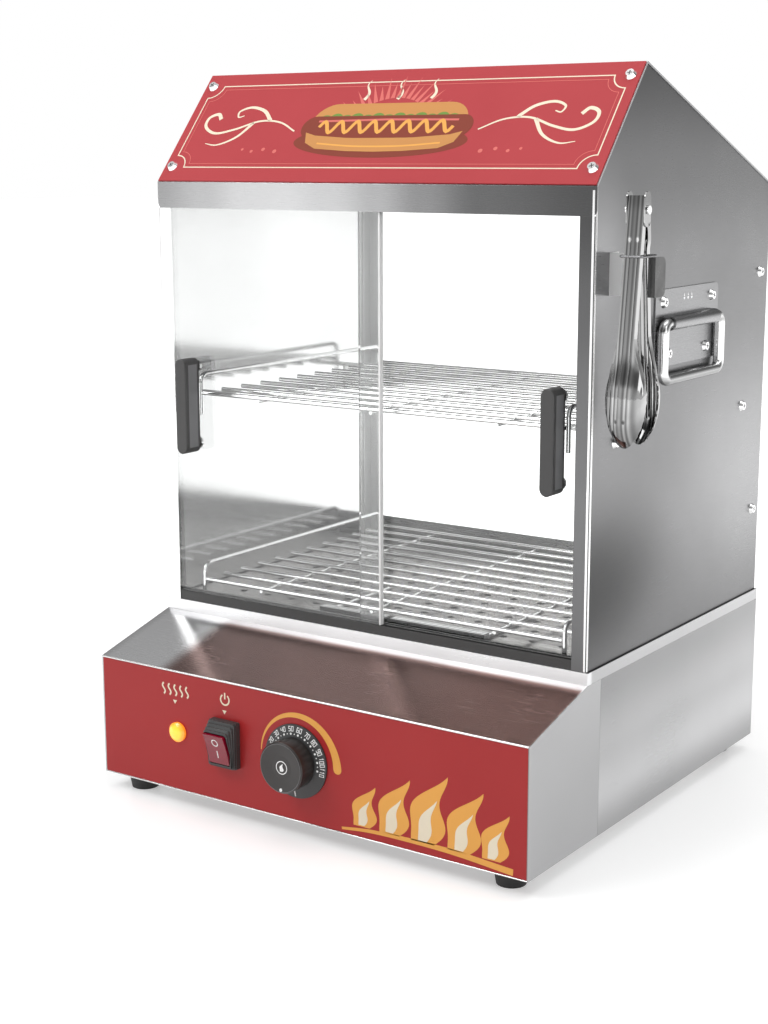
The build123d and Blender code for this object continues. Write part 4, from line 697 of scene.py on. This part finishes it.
def print_on(name, shapes, place, node, body, slot, mat, lift=0.05):
    """Ink on a node: 2-D shapes in mm, cast square onto its surface and lifted by a hair."""
    faces_below = surface_of(node)
    out = place.col[2].to_3d()
    verts, faces = [], []
    for shape in shapes:
        area = sum(a[0] * b[1] - b[0] * a[1] for a, b in zip(shape, list(shape[1:]) + [shape[0]]))
        ring = shape if area > 0 else list(shape)[::-1]
        spots = []
        for x, y in ring:
            start = place @ Vector((x * MM, y * MM, 0))
            hit = faces_below.ray_cast(start, -out, PRINT_REACH)[0]
            if hit is None:
                break
            spots.append(hit + out * lift * MM)
        if len(spots) == len(ring):
            faces.append(tuple(range(len(verts), len(verts) + len(spots))))
            verts.extend(spots)
    mesh = bpy.data.meshes.new(name)
    mesh.from_pydata([tuple(v) for v in verts], [], faces)
    mesh.materials.append(mats[mat])
    ride(link(bpy.data.objects.new(name, mesh)), body)


# ---------------------------------------------------------------- fascia
def heat_waves():
    shapes = []
    for i in range(5):
        x = -12 + 6 * i
        line = [(x + 1.3 * sin(2 * pi * k / 16), -4.6 + 9.2 * k / 16) for k in range(17)]
        shapes += ribbon(line, 1.5)
    return shapes


def power_mark():
    return ribbon(arc_line(0, 0, 4.2, 125, 415), 1.3) + ribbon([(0, 0.4), (0, 5.6)], 1.3)


def down_arrow(x, y):
    return [[(x - 2.1, y + 1.6), (x, y - 1.6), (x + 2.1, y + 1.6)]]


def flame(height, width, lean):
    """One tongue of flame on its base line, bent over at its tip."""
    spine = [(lean * t**1.7 + 0.10 * width * sin(2.6 * pi * t), height * t) for t in (k / 24 for k in range(25))]

    def half(t):
        return width / 2 * (1 - t) ** 0.75 * (0.55 + 1.25 * t * (1 - t) * 2)

    left = [(x - half(k / 24), y) for k, (x, y) in enumerate(spine)]
    right = [(x + half(k / 24), y) for k, (x, y) in enumerate(spine)]
    return [[right[k], right[k + 1], left[k + 1], left[k]] for k in range(24)]


# place, height, width and lean of each flame
FLAMES = (0, 33, 26, 10), (25, 45, 32, 15), (54, 54, 36, 18), (85, 48, 34, 17), (112, 36, 27, 12)


def flames(scale, shrink):
    shapes = []
    for x, height, width, lean in FLAMES:
        shapes += moved(flame(height * shrink, width * scale, lean * shrink), x, 6.5 + 2.5 * (1 - shrink))
    return shapes


base_z = BASE_Z / MM
fascia = ("fascia_panel", "cabinet", "red_fascia")
print_on("heat_icon", heat_waves(), facing_front(-121.8, base_z + 83), *fascia, "cream")
print_on("power_icon", power_mark(), facing_front(-71.2, base_z + 84.2), *fascia, "cream")
arrows = down_arrow(-122.4, 73.3) + down_arrow(-71.8, 73.9)
print_on("fascia_arrows", arrows, facing_front(0, base_z), *fascia, "cream")
heat_arc = [stroke(arc_line(-2, 48.5, 33.9, 175, 1, 60, 38.2), 0.8, 7.4, caps=12)]
print_on("heat_arc", heat_arc, facing_front(0, base_z), *fascia, "mustard")
swoosh = ribbon(smooth_line([(40, 4.5), (66, 7.5), (100, 8.5), (140, 8.0), (188, 4.5)]), 2.0, 5.0)
print_on("flame_mark", moved(flames(1.0, 1.0), 58, 3) + swoosh, facing_front(0, base_z), *fascia, "mustard")
print_on("flame_hearts", moved(flames(0.38, 0.62), 58, 3), facing_front(0, base_z), *fascia, "cream", lift=0.10)

# ---------------------------------------------------------------- dial, knob and switch
DIGITS = {
    "0": [[(0, 0), (2, 0), (2, 4), (0, 4), (0, -0.2)]],
    "1": [[(1.2, 0), (1.2, 4), (0.4, 3.2)]],
    "2": [[(0, 4), (2, 4), (2, 2), (0, 2), (0, 0), (2, 0)]],
    "3": [[(0, 4), (2, 4), (2, 0), (0, 0)], [(0.4, 2), (2, 2)]],
    "4": [[(0, 4), (0, 2), (2, 2)], [(2, 4), (2, 0)]],
    "5": [[(2, 4), (0, 4), (0, 2), (2, 2), (2, 0), (0, 0)]],
    "6": [[(2, 4), (0, 4), (0, 0), (2, 0), (2, 2), (0, 2)]],
    "7": [[(0, 4), (2, 4), (0.8, 0)]],
    "8": [[(0, 0), (2, 0), (2, 4), (0, 4), (0, -0.2)], [(0, 2), (2, 2)]],
    "9": [[(2, 2), (0, 2), (0, 4), (2, 4), (2, 0), (0, 0)]],
}


def number(text, height):
    """Plain numerals as pen lines, centred on their own middle."""
    scale = height / 4
    shapes = []
    for i, digit in enumerate(text):
        shift = (3.1 * i - (3.1 * len(text) - 1.1) / 2) * scale
        for line in DIGITS[digit]:
            shapes += moved(ribbon(line, 0.62), shift, -height / 2, 0, scale)
    return shapes


def dial_marks():
    shapes = []
    sweep, text_reach, dot_reach = 158, 25.7, 22.0
    for i in range(10):
        turn = 150 - sweep * i / 9
        a = radians(turn)
        shapes += moved(number(str(20 + 10 * i), 3.4), text_reach * cos(a), text_reach * sin(a), turn - 90)
        shapes.append(disc(dot_reach * cos(a), dot_reach * sin(a), 0.85, 16))
        if i < 9:
            b = radians(turn - sweep / 18)
            shapes.append(disc(dot_reach * cos(b), dot_reach * sin(b), 0.48, 12))
    return shapes + ribbon([(0, -27.6), (0, -22.6)], 1.0)


dial_face = facing_front(-2, base_z + 48.5)
knob = ("knob", "dial_knob", "white_plastic")
emblem = ribbon(arc_line(0, 0, 4.9, 0, 352.5, 48), 0.7, closed=True) + moved(flame(6.4, 4.4, 0.8), -0.3, -3.0)
print_on("dial_numbers", dial_marks(), dial_face, "dial_plate", "cabinet", "white_plastic", "white")
print_on("knob_rim_line", ribbon(arc_line(0, 0, 18.7, 0, 354, 60), 0.3, closed=True), dial_face, *knob, "grip")
print_on("knob_emblem", emblem, dial_face, *knob, "white")
print_on("knob_dot", [disc(0, -17.2, 1.3)], dial_face, *knob, "white")
rocker_marks = ribbon(arc_line(0, 0, 2.7, 0, 348, 30), 0.8, closed=True)
rocker_marks += ribbon([(0, -7.0), (0, -9.0), (0, -11.0), (0, -13.2)], 0.9)
print_on("switch_marks", rocker_marks, facing_front(-70.3, 66.3), "switch_rocker", "rocker", "white_plastic", "white")


# ---------------------------------------------------------------- sign
def notched_border(half, low, high, notch, width):
    """Closed line with its corners cut in by concave arcs round the screws."""
    corners = [(half, high, 270, 180), (-half, high, 0, -90), (-half, low, 90, 0), (half, low, 180, 90)]
    points = []
    for x, y, start, end in corners:
        points += arc_line(x, y, notch, start, end, 14)
    return ribbon(points, width, closed=True)


def capsule(x, y, length, height):
    radius = height / 2
    reach = length / 2 - radius
    right = circle_points(x + reach, y, radius, 18, -pi / 2, pi)
    return right + circle_points(x - reach, y, radius, 18, pi / 2, pi)


def steam_wisp(height, width):
    line = [(width * sin(1.9 * pi * t) * (0.5 + 0.5 * t), height * t) for t in (k / 20 for k in range(21))]
    return ribbon(line, 2.6, 0.5)


def sunburst(inner, outer, rays, start, end, width):
    shapes = []
    for i in range(rays):
        turn = radians(start + (end - start) * i / (rays - 1))
        reach = outer if i % 2 == 0 else inner + 0.72 * (outer - inner)
        c, k = cos(turn), sin(turn)
        shapes.append([
            (inner * c - width * k, inner * k + width * c), (inner * c + width * k, inner * k - width * c),
            (reach * c, reach * k)
        ])
    return shapes


def flourish(flip):
    """Curled scroll of tapering strokes."""
    main = smooth_line([(0, 0), (14, 7), (30, 8), (46, 2), (60, -1), (70, 4), (71, 11), (65, 14), (61, 10)])
    leaf = smooth_line([(22, 8.5), (30, 16), (41, 19), (49, 16), (48, 11.5), (44, 12.5)])
    tail = smooth_line([(34, 7), (42, -4), (54, -10), (64, -9)])
    shapes = ribbon(main, 1.0, 2.6) + ribbon(leaf, 2.6, 0.7) + ribbon(tail, 2.4, 0.5)
    return [[(flip * x, y) for x, y in shape] for shape in shapes]


sign = ("sign_plate", "cabinet", "sign_red")
sign_place = (facing_sign(0, 0), *sign)
print_on("sign_border", notched_border(190.5, 14.0, 98.0, 12.0, 1.0), *sign_place, "cream")
print_on("sign_inner_line", notched_border(186.8, 17.7, 94.3, 12.0, 0.5), *sign_place, "pink")
middle = facing_sign(0, -4) @ Matrix.Diagonal((1.28, 1.28, 1, 1))
sign_middle = (middle, *sign)
print_on("sign_rays", moved(sunburst(33, 50, 25, 12, 168, 1.5), 0, 34), *sign_middle, "pink")
scrolls = moved(flourish(1), 84, 50, 0, 1.32) + moved(flourish(-1), -84, 50, 0, 1.32)
print_on("sign_scrolls", scrolls, *sign_place, "cream")
dots = [disc(side * x, 30 + 2 * (i % 2), 1.9 - 0.2 * i, 16)
        for side in (-1, 1) for i, x in enumerate((94, 106, 117, 127))]
print_on("sign_dots", dots, *sign_place, "pink")
dish = middle @ Matrix.Translation((0, 34 * MM, 0)) @ Matrix.Diagonal((1, 0.20, 1, 1))
print_on("sign_dish", [circle_points(0, 0, 62, 64)], dish, *sign, "brown", lift=0.04)
print_on("sign_bun_back", [capsule(0, 47, 112, 32)], *sign_middle, "tan", lift=0.06)
leaves = [disc(-46 + 7.6 * i, 49 + 1.2 * (i % 2), 5.4, 20) for i in range(13)]
print_on("sign_leaves", leaves, *sign_middle, "green", lift=0.08)
print_on("sign_sausage", [capsule(0, 45, 122, 17)], *sign_middle, "brown", lift=0.10)
shine = ribbon([(-50, 49.6), (0, 50.4), (50, 49.6)], 1.5)
print_on("sign_sausage_shine", shine, *sign_middle, "pink", lift=0.12)
squiggle = [(-48 + 96 * k / 96, 45 + 4.2 * sin(2 * pi * 8 * k / 96)) for k in range(97)]
print_on("sign_squiggle", ribbon(squiggle, 2.5), *sign_middle, "mustard", lift=0.14)
front_bun = [(-56, 41), (-53, 33), (-44, 28.5), (-20, 26.5), (0, 26), (20, 26.5), (44, 28.5), (53, 33),
             (56, 41), (48, 38.6), (24, 36.6), (0, 36), (-24, 36.6), (-48, 38.6)]
print_on("sign_bun_front", [front_bun], *sign_middle, "tan", lift=0.12)
bun_shine = smooth_line([(-44, 32.5), (-20, 30.4), (0, 30), (20, 30.4), (44, 32.5)])
print_on("sign_bun_shine", ribbon(bun_shine, 1.2), *sign_middle, "mustard", lift=0.14)
steam = [shape for x in (-24, 0, 24) for shape in moved(steam_wisp(15, 2.4), x, 66)]
print_on("sign_steam", steam, *sign_middle, "cream")


# ---------------------------------------------------------------- screws, handles and side plates
def islands(node):
    """Centre of each loose part of a node."""
    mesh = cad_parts[node].data
    key = lambda co: tuple(round(c, 5) for c in co)
    parent = {}

    def root(k):
        while parent[k] != k:
            parent[k] = parent[parent[k]]
            k = parent[k]
        return k

    for vertex in mesh.vertices:
        parent.setdefault(key(vertex.co), key(vertex.co))
    for polygon in mesh.polygons:
        keys = [root(key(mesh.vertices[i].co)) for i in polygon.vertices]
        for other in keys[1:]:
            parent[root(other)] = root(keys[0])
    groups = {}
    for k in parent:
        groups.setdefault(root(k), []).append(Vector(k))
    centres = []
    for points in groups.values():
        low = Vector([min(p[i] for p in points) for i in range(3)])
        high = Vector([max(p[i] for p in points) for i in range(3)])
        centres.append((low + high) / 2)
    return centres


def cross(turn):
    bar = ribbon([(-2.0 + 2.0 * k / 3, 0) for k in range(7)], 0.75)
    return moved(bar, 0, 0, turn) + moved(bar, 0, 0, turn + 90)


# Screw recesses drawn as black crosses: painted shade in the hollows.
def cross_recesses(name, node, body, place_of):
    for i, centre in enumerate(islands(node)):
        place = place_of(centre / MM)
        print_on(f"{name}_{i}", cross(20 + 37 * i), place, node, body, "zinc_steel", "black", lift=0.06)


def sign_place_of(centre):
    rise = centre - SIGN_LOW / MM
    return facing_sign(centre.x, rise.y * cos(SIGN_LEAN) + rise.z * sin(SIGN_LEAN))


cross_recesses("sign_screw_recess", "sign_screws", "cabinet", sign_place_of)
cross_recesses("side_screw_recess", "side_screws", "cabinet", lambda c: facing_side(c.y, c.z, 1 if c.x > 0 else -1))

# Embossed drop marks on the handle plates, drawn flat in bright steel: real marks, their brightness a painted
# highlight.
for side, name in ((1, "right"), (-1, "left")):
    drops = []
    for i in range(3):
        x = -6.5 + 6.5 * i
        drops += [disc(x, 20.5, 1.25, 16), [(x - 1.0, 21.2), (x + 1.0, 21.2), (x, 24.2)]]
    print_on(f"{name}_plate_drops", drops, facing_side(38.0, 383.0, side), f"{name}_handle_plate", "cabinet",
             "handle_steel", "edge")

# A grey band on each door handle's side: a painted reflection.
for name in ("left", "right"):
    low, high = (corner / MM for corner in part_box(f"{name}_door_handle"))
    near, far, foot, head = low.y + 4.0, high.y - 2.4, low.z + 5, high.z - 5
    outline = [(near, foot), (far, foot), (far, head), (near, head)]
    print_on(f"{name}_handle_band", [outline], facing_side(0, 0, 1), f"{name}_door_handle", f"{name}_door",
             "black_plastic", "grip")


# ---------------------------------------------------------------- bright folded edges with painted highlights, and holder folds with painted shade
# Rounded folded edges in brighter steel than the sheets they finish: real edges with a painted highlight.
for name, z, radius in (("upper", 111.6, 0.8), ("lower", 13.5, 0.5)):
    ends = [(x * MM, FRONT_Y + 0.1 * MM, z * MM) for x in (-199.2, 199.2)]
    ride(tube(f"fascia_{name}_edge", ends, radius * MM, mats["edge"], sides=16), "cabinet")
# The right panel's rounded front edge, brighter than the panel: a real edge with a painted highlight line.
ends = [(PANEL_X - 1.6 * MM, -0.1103, z * MM) for z in (144.5, 486)]
ride(tube("right_post_edge", ends, 2.0 * MM, mats["edge"], sides=24), "cabinet")
# Dark grey lines at the holder's two folds: painted shade in the creases.
for i, x in enumerate((212.6, 218.2)):
    ends = [(x * MM, -0.08992, z * MM) for z in (414.5, 442)]
    ride(tube(f"holder_fold_{i}", ends, 0.45 * MM, mats["grip"], sides=12), "cabinet")


# ---------------------------------------------------------------- tongs
PIN_LOW, PIN_HIGH = (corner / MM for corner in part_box("tongs_pin"))
PIN = (PIN_LOW + PIN_HIGH) / 2
ARM_HALF, SHEET, WEB, FLANGE = 6.2, 0.8, 4.0, -0.6
HEAD_START, HEAD_WIDEST, HEAD_END, HEAD_HALF = 84.0, 128, 163.0, 15.4
ARM_STEPS, LENGTH_STEPS = 64, 220           # across the arm and along it
EAR_HALF = 7.2                              # pin's middle to the outside of the rear arm's ears
SCALLOP_PITCH, FLUTE_PITCH = 6.2, 3.6


def blend_in(value, low, high):
    t = max(0.0, min(1.0, (value - low) / (high - low)))
    return t * t * (3 - 2 * t)


def bead(x, at, width):
    return max(0.0, 1 - ((x - at) / width) ** 2) ** 2


def head_half_width(t):
    """Half width of the head: swells from the arm, then closes to a blunt tip."""
    if t < HEAD_WIDEST:
        return ARM_HALF + (HEAD_HALF - ARM_HALF) * blend_in(t, HEAD_START, HEAD_WIDEST)
    return max(0.6, HEAD_HALF * sqrt(max(0.0, 1 - ((t - HEAD_WIDEST) / (HEAD_END - 127.8)) ** 2)) ** 1.15)


def arm_section(t, half_top, skin, ears):
    """Outer line of the arm across its width at t mm below the pin, skin inside the sheet's face."""
    share = blend_in(t, 88, 122)
    half = head_half_width(t) if t > HEAD_START else half_top(t)
    rim = FLANGE + (-3.0 - (t - 107) * tan(radians(3)) - FLANGE) * blend_in(t, 90, 112)
    if ears and t < 8:
        rim = FLANGE - 4.0 * sqrt(max(0.0, 1 - ((t + 1.5) / 9.6) ** 2))
    crown = WEB + 1.9 * blend_in(t, 96, 122) - (t - HEAD_WIDEST) * 0.055 * (t > HEAD_WIDEST)
    if t > 140:
        crown -= (crown - rim - 0.6) * ((t - 140) / (HEAD_END - 140)) ** 2.6
    width = half - skin
    points = []
    grooves = blend_in(t, 19, 22) * (1 - blend_in(t, 143, 147))
    for i in range(ARM_STEPS + 1):
        u = -1 + 2 * i / ARM_STEPS
        # folded channel: flange, web, flange
        if abs(u) > 0.75:
            flat = (width if u > 0 else -width, WEB - skin - (WEB - skin - rim) * (abs(u) - 0.75) / 0.25)
        else:
            flat = (width * u / 0.75, WEB - skin)
        # dished head
        turn = pi / 2 * u
        bowl = (width * sin(turn), rim + (crown - skin - rim) * max(0.0, cos(turn)) ** 0.85)
        x = flat[0] + (bowl[0] - flat[0]) * share
        z = flat[1] + (bowl[1] - flat[1]) * share
        z -= 0.85 * grooves * (bead(x, 2.9, 1.7) + bead(x, -2.9, 1.7))
        flute = share * (1 - blend_in(t, 150, 160)) * blend_in(abs(x), 5.0, 7.0)
        z -= 0.55 * flute * (0.5 - 0.5 * cos(2 * pi * abs(x) / FLUTE_PITCH))
        points.append((x, z))
    return points


def tongs_shell(name, lean, side, start, half_top, ears, mat):
    """One arm of the tongs as folded sheet that runs out into a fluted, scalloped head."""
    turn = radians(lean)
    x_dir = Vector((-side, 0, 0))
    out = Vector((0, side * cos(turn), sin(turn)))
    up = out.cross(x_dir)
    origin = PIN * MM
    steps = [start + (HEAD_END - start) * k / LENGTH_STEPS for k in range(LENGTH_STEPS + 1)]
    verts, faces = [], []
    count = ARM_STEPS
    for t in steps:
        for skin in (0.0, SHEET):
            line = arm_section(t, half_top, skin, ears)
            scallop = 0.7 * blend_in(t, 104, 112) * (0.5 - 0.5 * cos(2 * pi * t / SCALLOP_PITCH))
            scallop *= 1 - blend_in(t, 152, 160)
            line[0] = (line[0][0] * (1 - 0.03 * scallop), line[0][1] + scallop)
            line[-1] = (line[-1][0] * (1 - 0.03 * scallop), line[-1][1] + scallop)
            verts += [origin + x_dir * x * MM + out * z * MM - up * t * MM for x, z in line]
    row = 2 * (count + 1)
    for k in range(len(steps) - 1):
        a, b = k * row, (k + 1) * row
        for i in range(count):
            faces.append((a + i, a + i + 1, b + i + 1, b + i))
            c, d = a + count + 1, b + count + 1
            faces.append((c + i + 1, c + i, d + i, d + i + 1))
        for edge in (0, count):
            c, d = edge, edge + count + 1
            faces.append((a + c, b + c, b + d, a + d))
    for base in (0, (len(steps) - 1) * row):
        for i in range(count):
            faces.append((base + i, base + i + 1, base + count + 2 + i, base + count + 1 + i))
    return mesh_object(name, verts, faces, mat, 42)


front_arm = tongs_shell("front_tongs_arm", 6.5, -1, -9.3, lambda t: ARM_HALF, True, mats["tongs"])
ride(front_arm, "tongs")
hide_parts("tongs_front_arm")


def rear_half(t):
    return EAR_HALF - (EAR_HALF - ARM_HALF) * blend_in(t, 20, 28)


ear_pieces = [tongs_shell("rear_shell", 5.45, 1, 9.0, rear_half, False, mats["tongs"])]
for side in (-1, 1):
    outline = circle_points(0, 7.8, 4.6, 20, 0, pi) + circle_points(0, -7.0, 4.6, 20, pi, pi)
    place = Matrix(((0, 0, side), (side, 0, 0), (0, 1, 0))).to_4x4()
    place.translation = (PIN.x * MM + side * (EAR_HALF - SHEET) * MM, PIN.y * MM, PIN.z * MM)
    outline = [(x * MM, y * MM) for x, y in outline]
    ear_pieces.append(plate_from_outline(f"ear_{side}", outline, place, SHEET * MM, mats["tongs"], 40))
rear_arm = join("rear_tongs_arm", ear_pieces)
ride(rear_arm, "tongs_rear")
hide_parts("tongs_rear_arm")


# ---------------------------------------------------------------- rubber boot round the switch's rocker
def rounded_box(half_x, half_z, corner):
    points = []
    for sx, sz, start in ((1, 1, 0), (-1, 1, 90), (-1, -1, 180), (1, -1, 270)):
        points += arc_line(sx * (half_x - corner), sz * (half_z - corner), corner, start, start + 90, 6)
    return points


ROCKER_TILT = 18
ROCKER_LOW, ROCKER_HIGH = (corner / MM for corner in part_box("switch_rocker"))
BOOT_LOW, BOOT_HIGH = (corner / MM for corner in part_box("switch_boot"))
boot_x, boot_z = (BOOT_LOW.x + BOOT_HIGH.x) / 2, (BOOT_LOW.z + BOOT_HIGH.z) / 2
drop = boot_z - (ROCKER_LOW.z + ROCKER_HIGH.z) / 2
# half width, half height, forward, share of the rocker's tilt, share of its drop
steps = [
    (13.1, 18.35, 0.0, 0.0, 0.0), (13.1, 18.35, 2.0, 0.0, 0.0),
    (12.5, 16.9, 2.2, 0.05, 0.25), (12.5, 16.9, 3.6, 0.15, 0.3),
    (12.0, 15.5, 3.8, 0.30, 0.5), (12.0, 15.5, 5.0, 0.40, 0.55),
    (11.5, 14.3, 5.2, 0.60, 0.8), (11.5, 14.3, 6.2, 0.75, 0.85),
    (11.05, 13.2, 6.3, 0.95, 1.0), (11.05, 13.2, 5.2, 1.0, 1.0),
    (11.1, 13.3, 1.0, 0.6, 0.8), (12.4, 16.5, -0.2, 0.0, 0.1),
]
verts, faces = [], []
for half_x, half_z, forward, tilt, sink in steps:
    for x, z in rounded_box(half_x, half_z, 2.4):
        y = BOOT_HIGH.y - forward - tilt * z * tan(radians(ROCKER_TILT))
        verts.append(Vector((boot_x + x, y, boot_z - sink * drop + z)) * MM)
ring = len(verts) // len(steps)
for k in range(len(steps)):
    a, b = k * ring, ((k + 1) % len(steps)) * ring
    faces += [(a + i, a + (i + 1) % ring, b + (i + 1) % ring, b + i) for i in range(ring)]
boot = mesh_object("switch_bellows", verts, faces, mats["boot"], 35)
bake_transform(boot)
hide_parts("switch_boot")


# ================================================================ floor, light and camera
def seen_rays(g):
    """The Light Path's outputs, and the factor that is 1 for what the camera sees, also through glass."""
    rays = g.new("LightPath", {}).outputs
    return rays, maths(g, "MAXIMUM", rays["Is Camera Ray"], rays["Is Transmission Ray"])


def make_floor():
    """Pale floor that keeps the object's shadow and runs white away from it."""
    size = 14.0
    corners = [(-size, -size, FLOOR_Z), (size, -size, FLOOR_Z), (size, size, FLOOR_Z), (-size, size, FLOOR_Z)]
    mat, g, surface = tree("floor")
    rays, seen = seen_rays(g)
    every = maths(g, "MAXIMUM", seen, rays["Is Glossy Ray"])
    away = spot(g, (0, 0, 0), (1500, 1500, 0), 0.32)
    g.fill(surface, {
        "Base Color": (0.82, 0.82, 0.82, 1),
        "Roughness": 0.35,
        "Emission Color": (1, 1, 1, 1),
        "Emission Strength": multiply(g, every, away),
    })
    floor = mesh_object("floor", corners, [(0, 1, 2, 3)], mat)


def make_world():
    """White to the eye; glossy surfaces see a soft studio with pale cards and grey gaps between them."""
    world = bpy.data.worlds.new("studio")
    bpy.context.scene.world = world
    world.use_nodes = True
    g = Graph(world.node_tree)
    g.nodes.clear()
    stops = [(0.0, 0.6), (0.46, 1.0), (0.54, 0.95), (0.61, 0.30), (0.71, 0.14), (0.80, 0.55), (1.0, 1.0)]
    height = maths(g, "MULTIPLY_ADD", coords_axis(g, "Generated", "Z"), 0.5, 0.5)
    rays, seen = seen_rays(g)
    plain = g.new("Background", {"Color": (1, 1, 1, 1), "Strength": 0.55})
    studio = g.new("Background", {"Color": grey_ramp(g, height, stops)})
    white = g.new("Background", {"Color": (1, 1, 1, 1)})
    lighting = mix_shaders(g, rays["Is Glossy Ray"], plain.outputs[0], studio.outputs[0])
    g.new("OutputWorld", {"Surface": mix_shaders(g, seen, lighting, white.outputs[0])})


def area_light(name, place, target, size, watts):
    light = bpy.data.lights.new(name, "AREA")
    light.shape = "RECTANGLE"
    light.size, light.size_y = size
    light.energy = watts
    lamp = link(bpy.data.objects.new(name, light))
    direction = Vector(target) - Vector(place)
    lamp.location = place
    lamp.rotation_euler = direction.to_track_quat("-Z", "Y").to_euler()
    return lamp


def make_lights():
    area_light("key", (-1.4, -1.8, 2.4), (0, 0, 0.3), (1.6, 1.2), 34)
    area_light("overhead", (0.2, 0.3, 2.6), (0, 0, 0.3), (2.2, 2.2), 26)
    area_light("right_fill", (2.2, -0.6, 1.3), (0, 0, 0.3), (1.0, 1.6), 10)


CAMERA_FOCAL = 61.48
CAMERA_PLACE = (0.76712, -1.18908, 0.51129)
CAMERA_YAW, CAMERA_PITCH, CAMERA_ROLL = -34.67, -11.61, -0.13


def make_camera():
    yaw, pitch, roll = (radians(a) for a in (CAMERA_YAW, CAMERA_PITCH, CAMERA_ROLL))
    ahead = Vector((sin(yaw) * cos(pitch), cos(yaw) * cos(pitch), sin(pitch)))
    right = ahead.cross(Vector((0, 0, 1))).normalized()
    up = right.cross(ahead)
    right, up = cos(roll) * right + sin(roll) * up, -sin(roll) * right + cos(roll) * up
    camera = bpy.data.cameras.new("camera")
    camera.sensor_fit = "VERTICAL"
    camera.sensor_height = 36.0
    camera.lens = CAMERA_FOCAL
    camera.clip_start, camera.clip_end = 0.05, 60
    holder = link(bpy.data.objects.new("camera", camera))
    rotation = Matrix((right, up, -ahead)).transposed()
    holder.matrix_world = Matrix.Translation(CAMERA_PLACE) @ rotation.to_4x4()
    bpy.context.scene.camera = holder


make_floor()
make_world()
make_lights()
make_camera()
bpy.context.scene.view_settings.view_transform = "Standard"
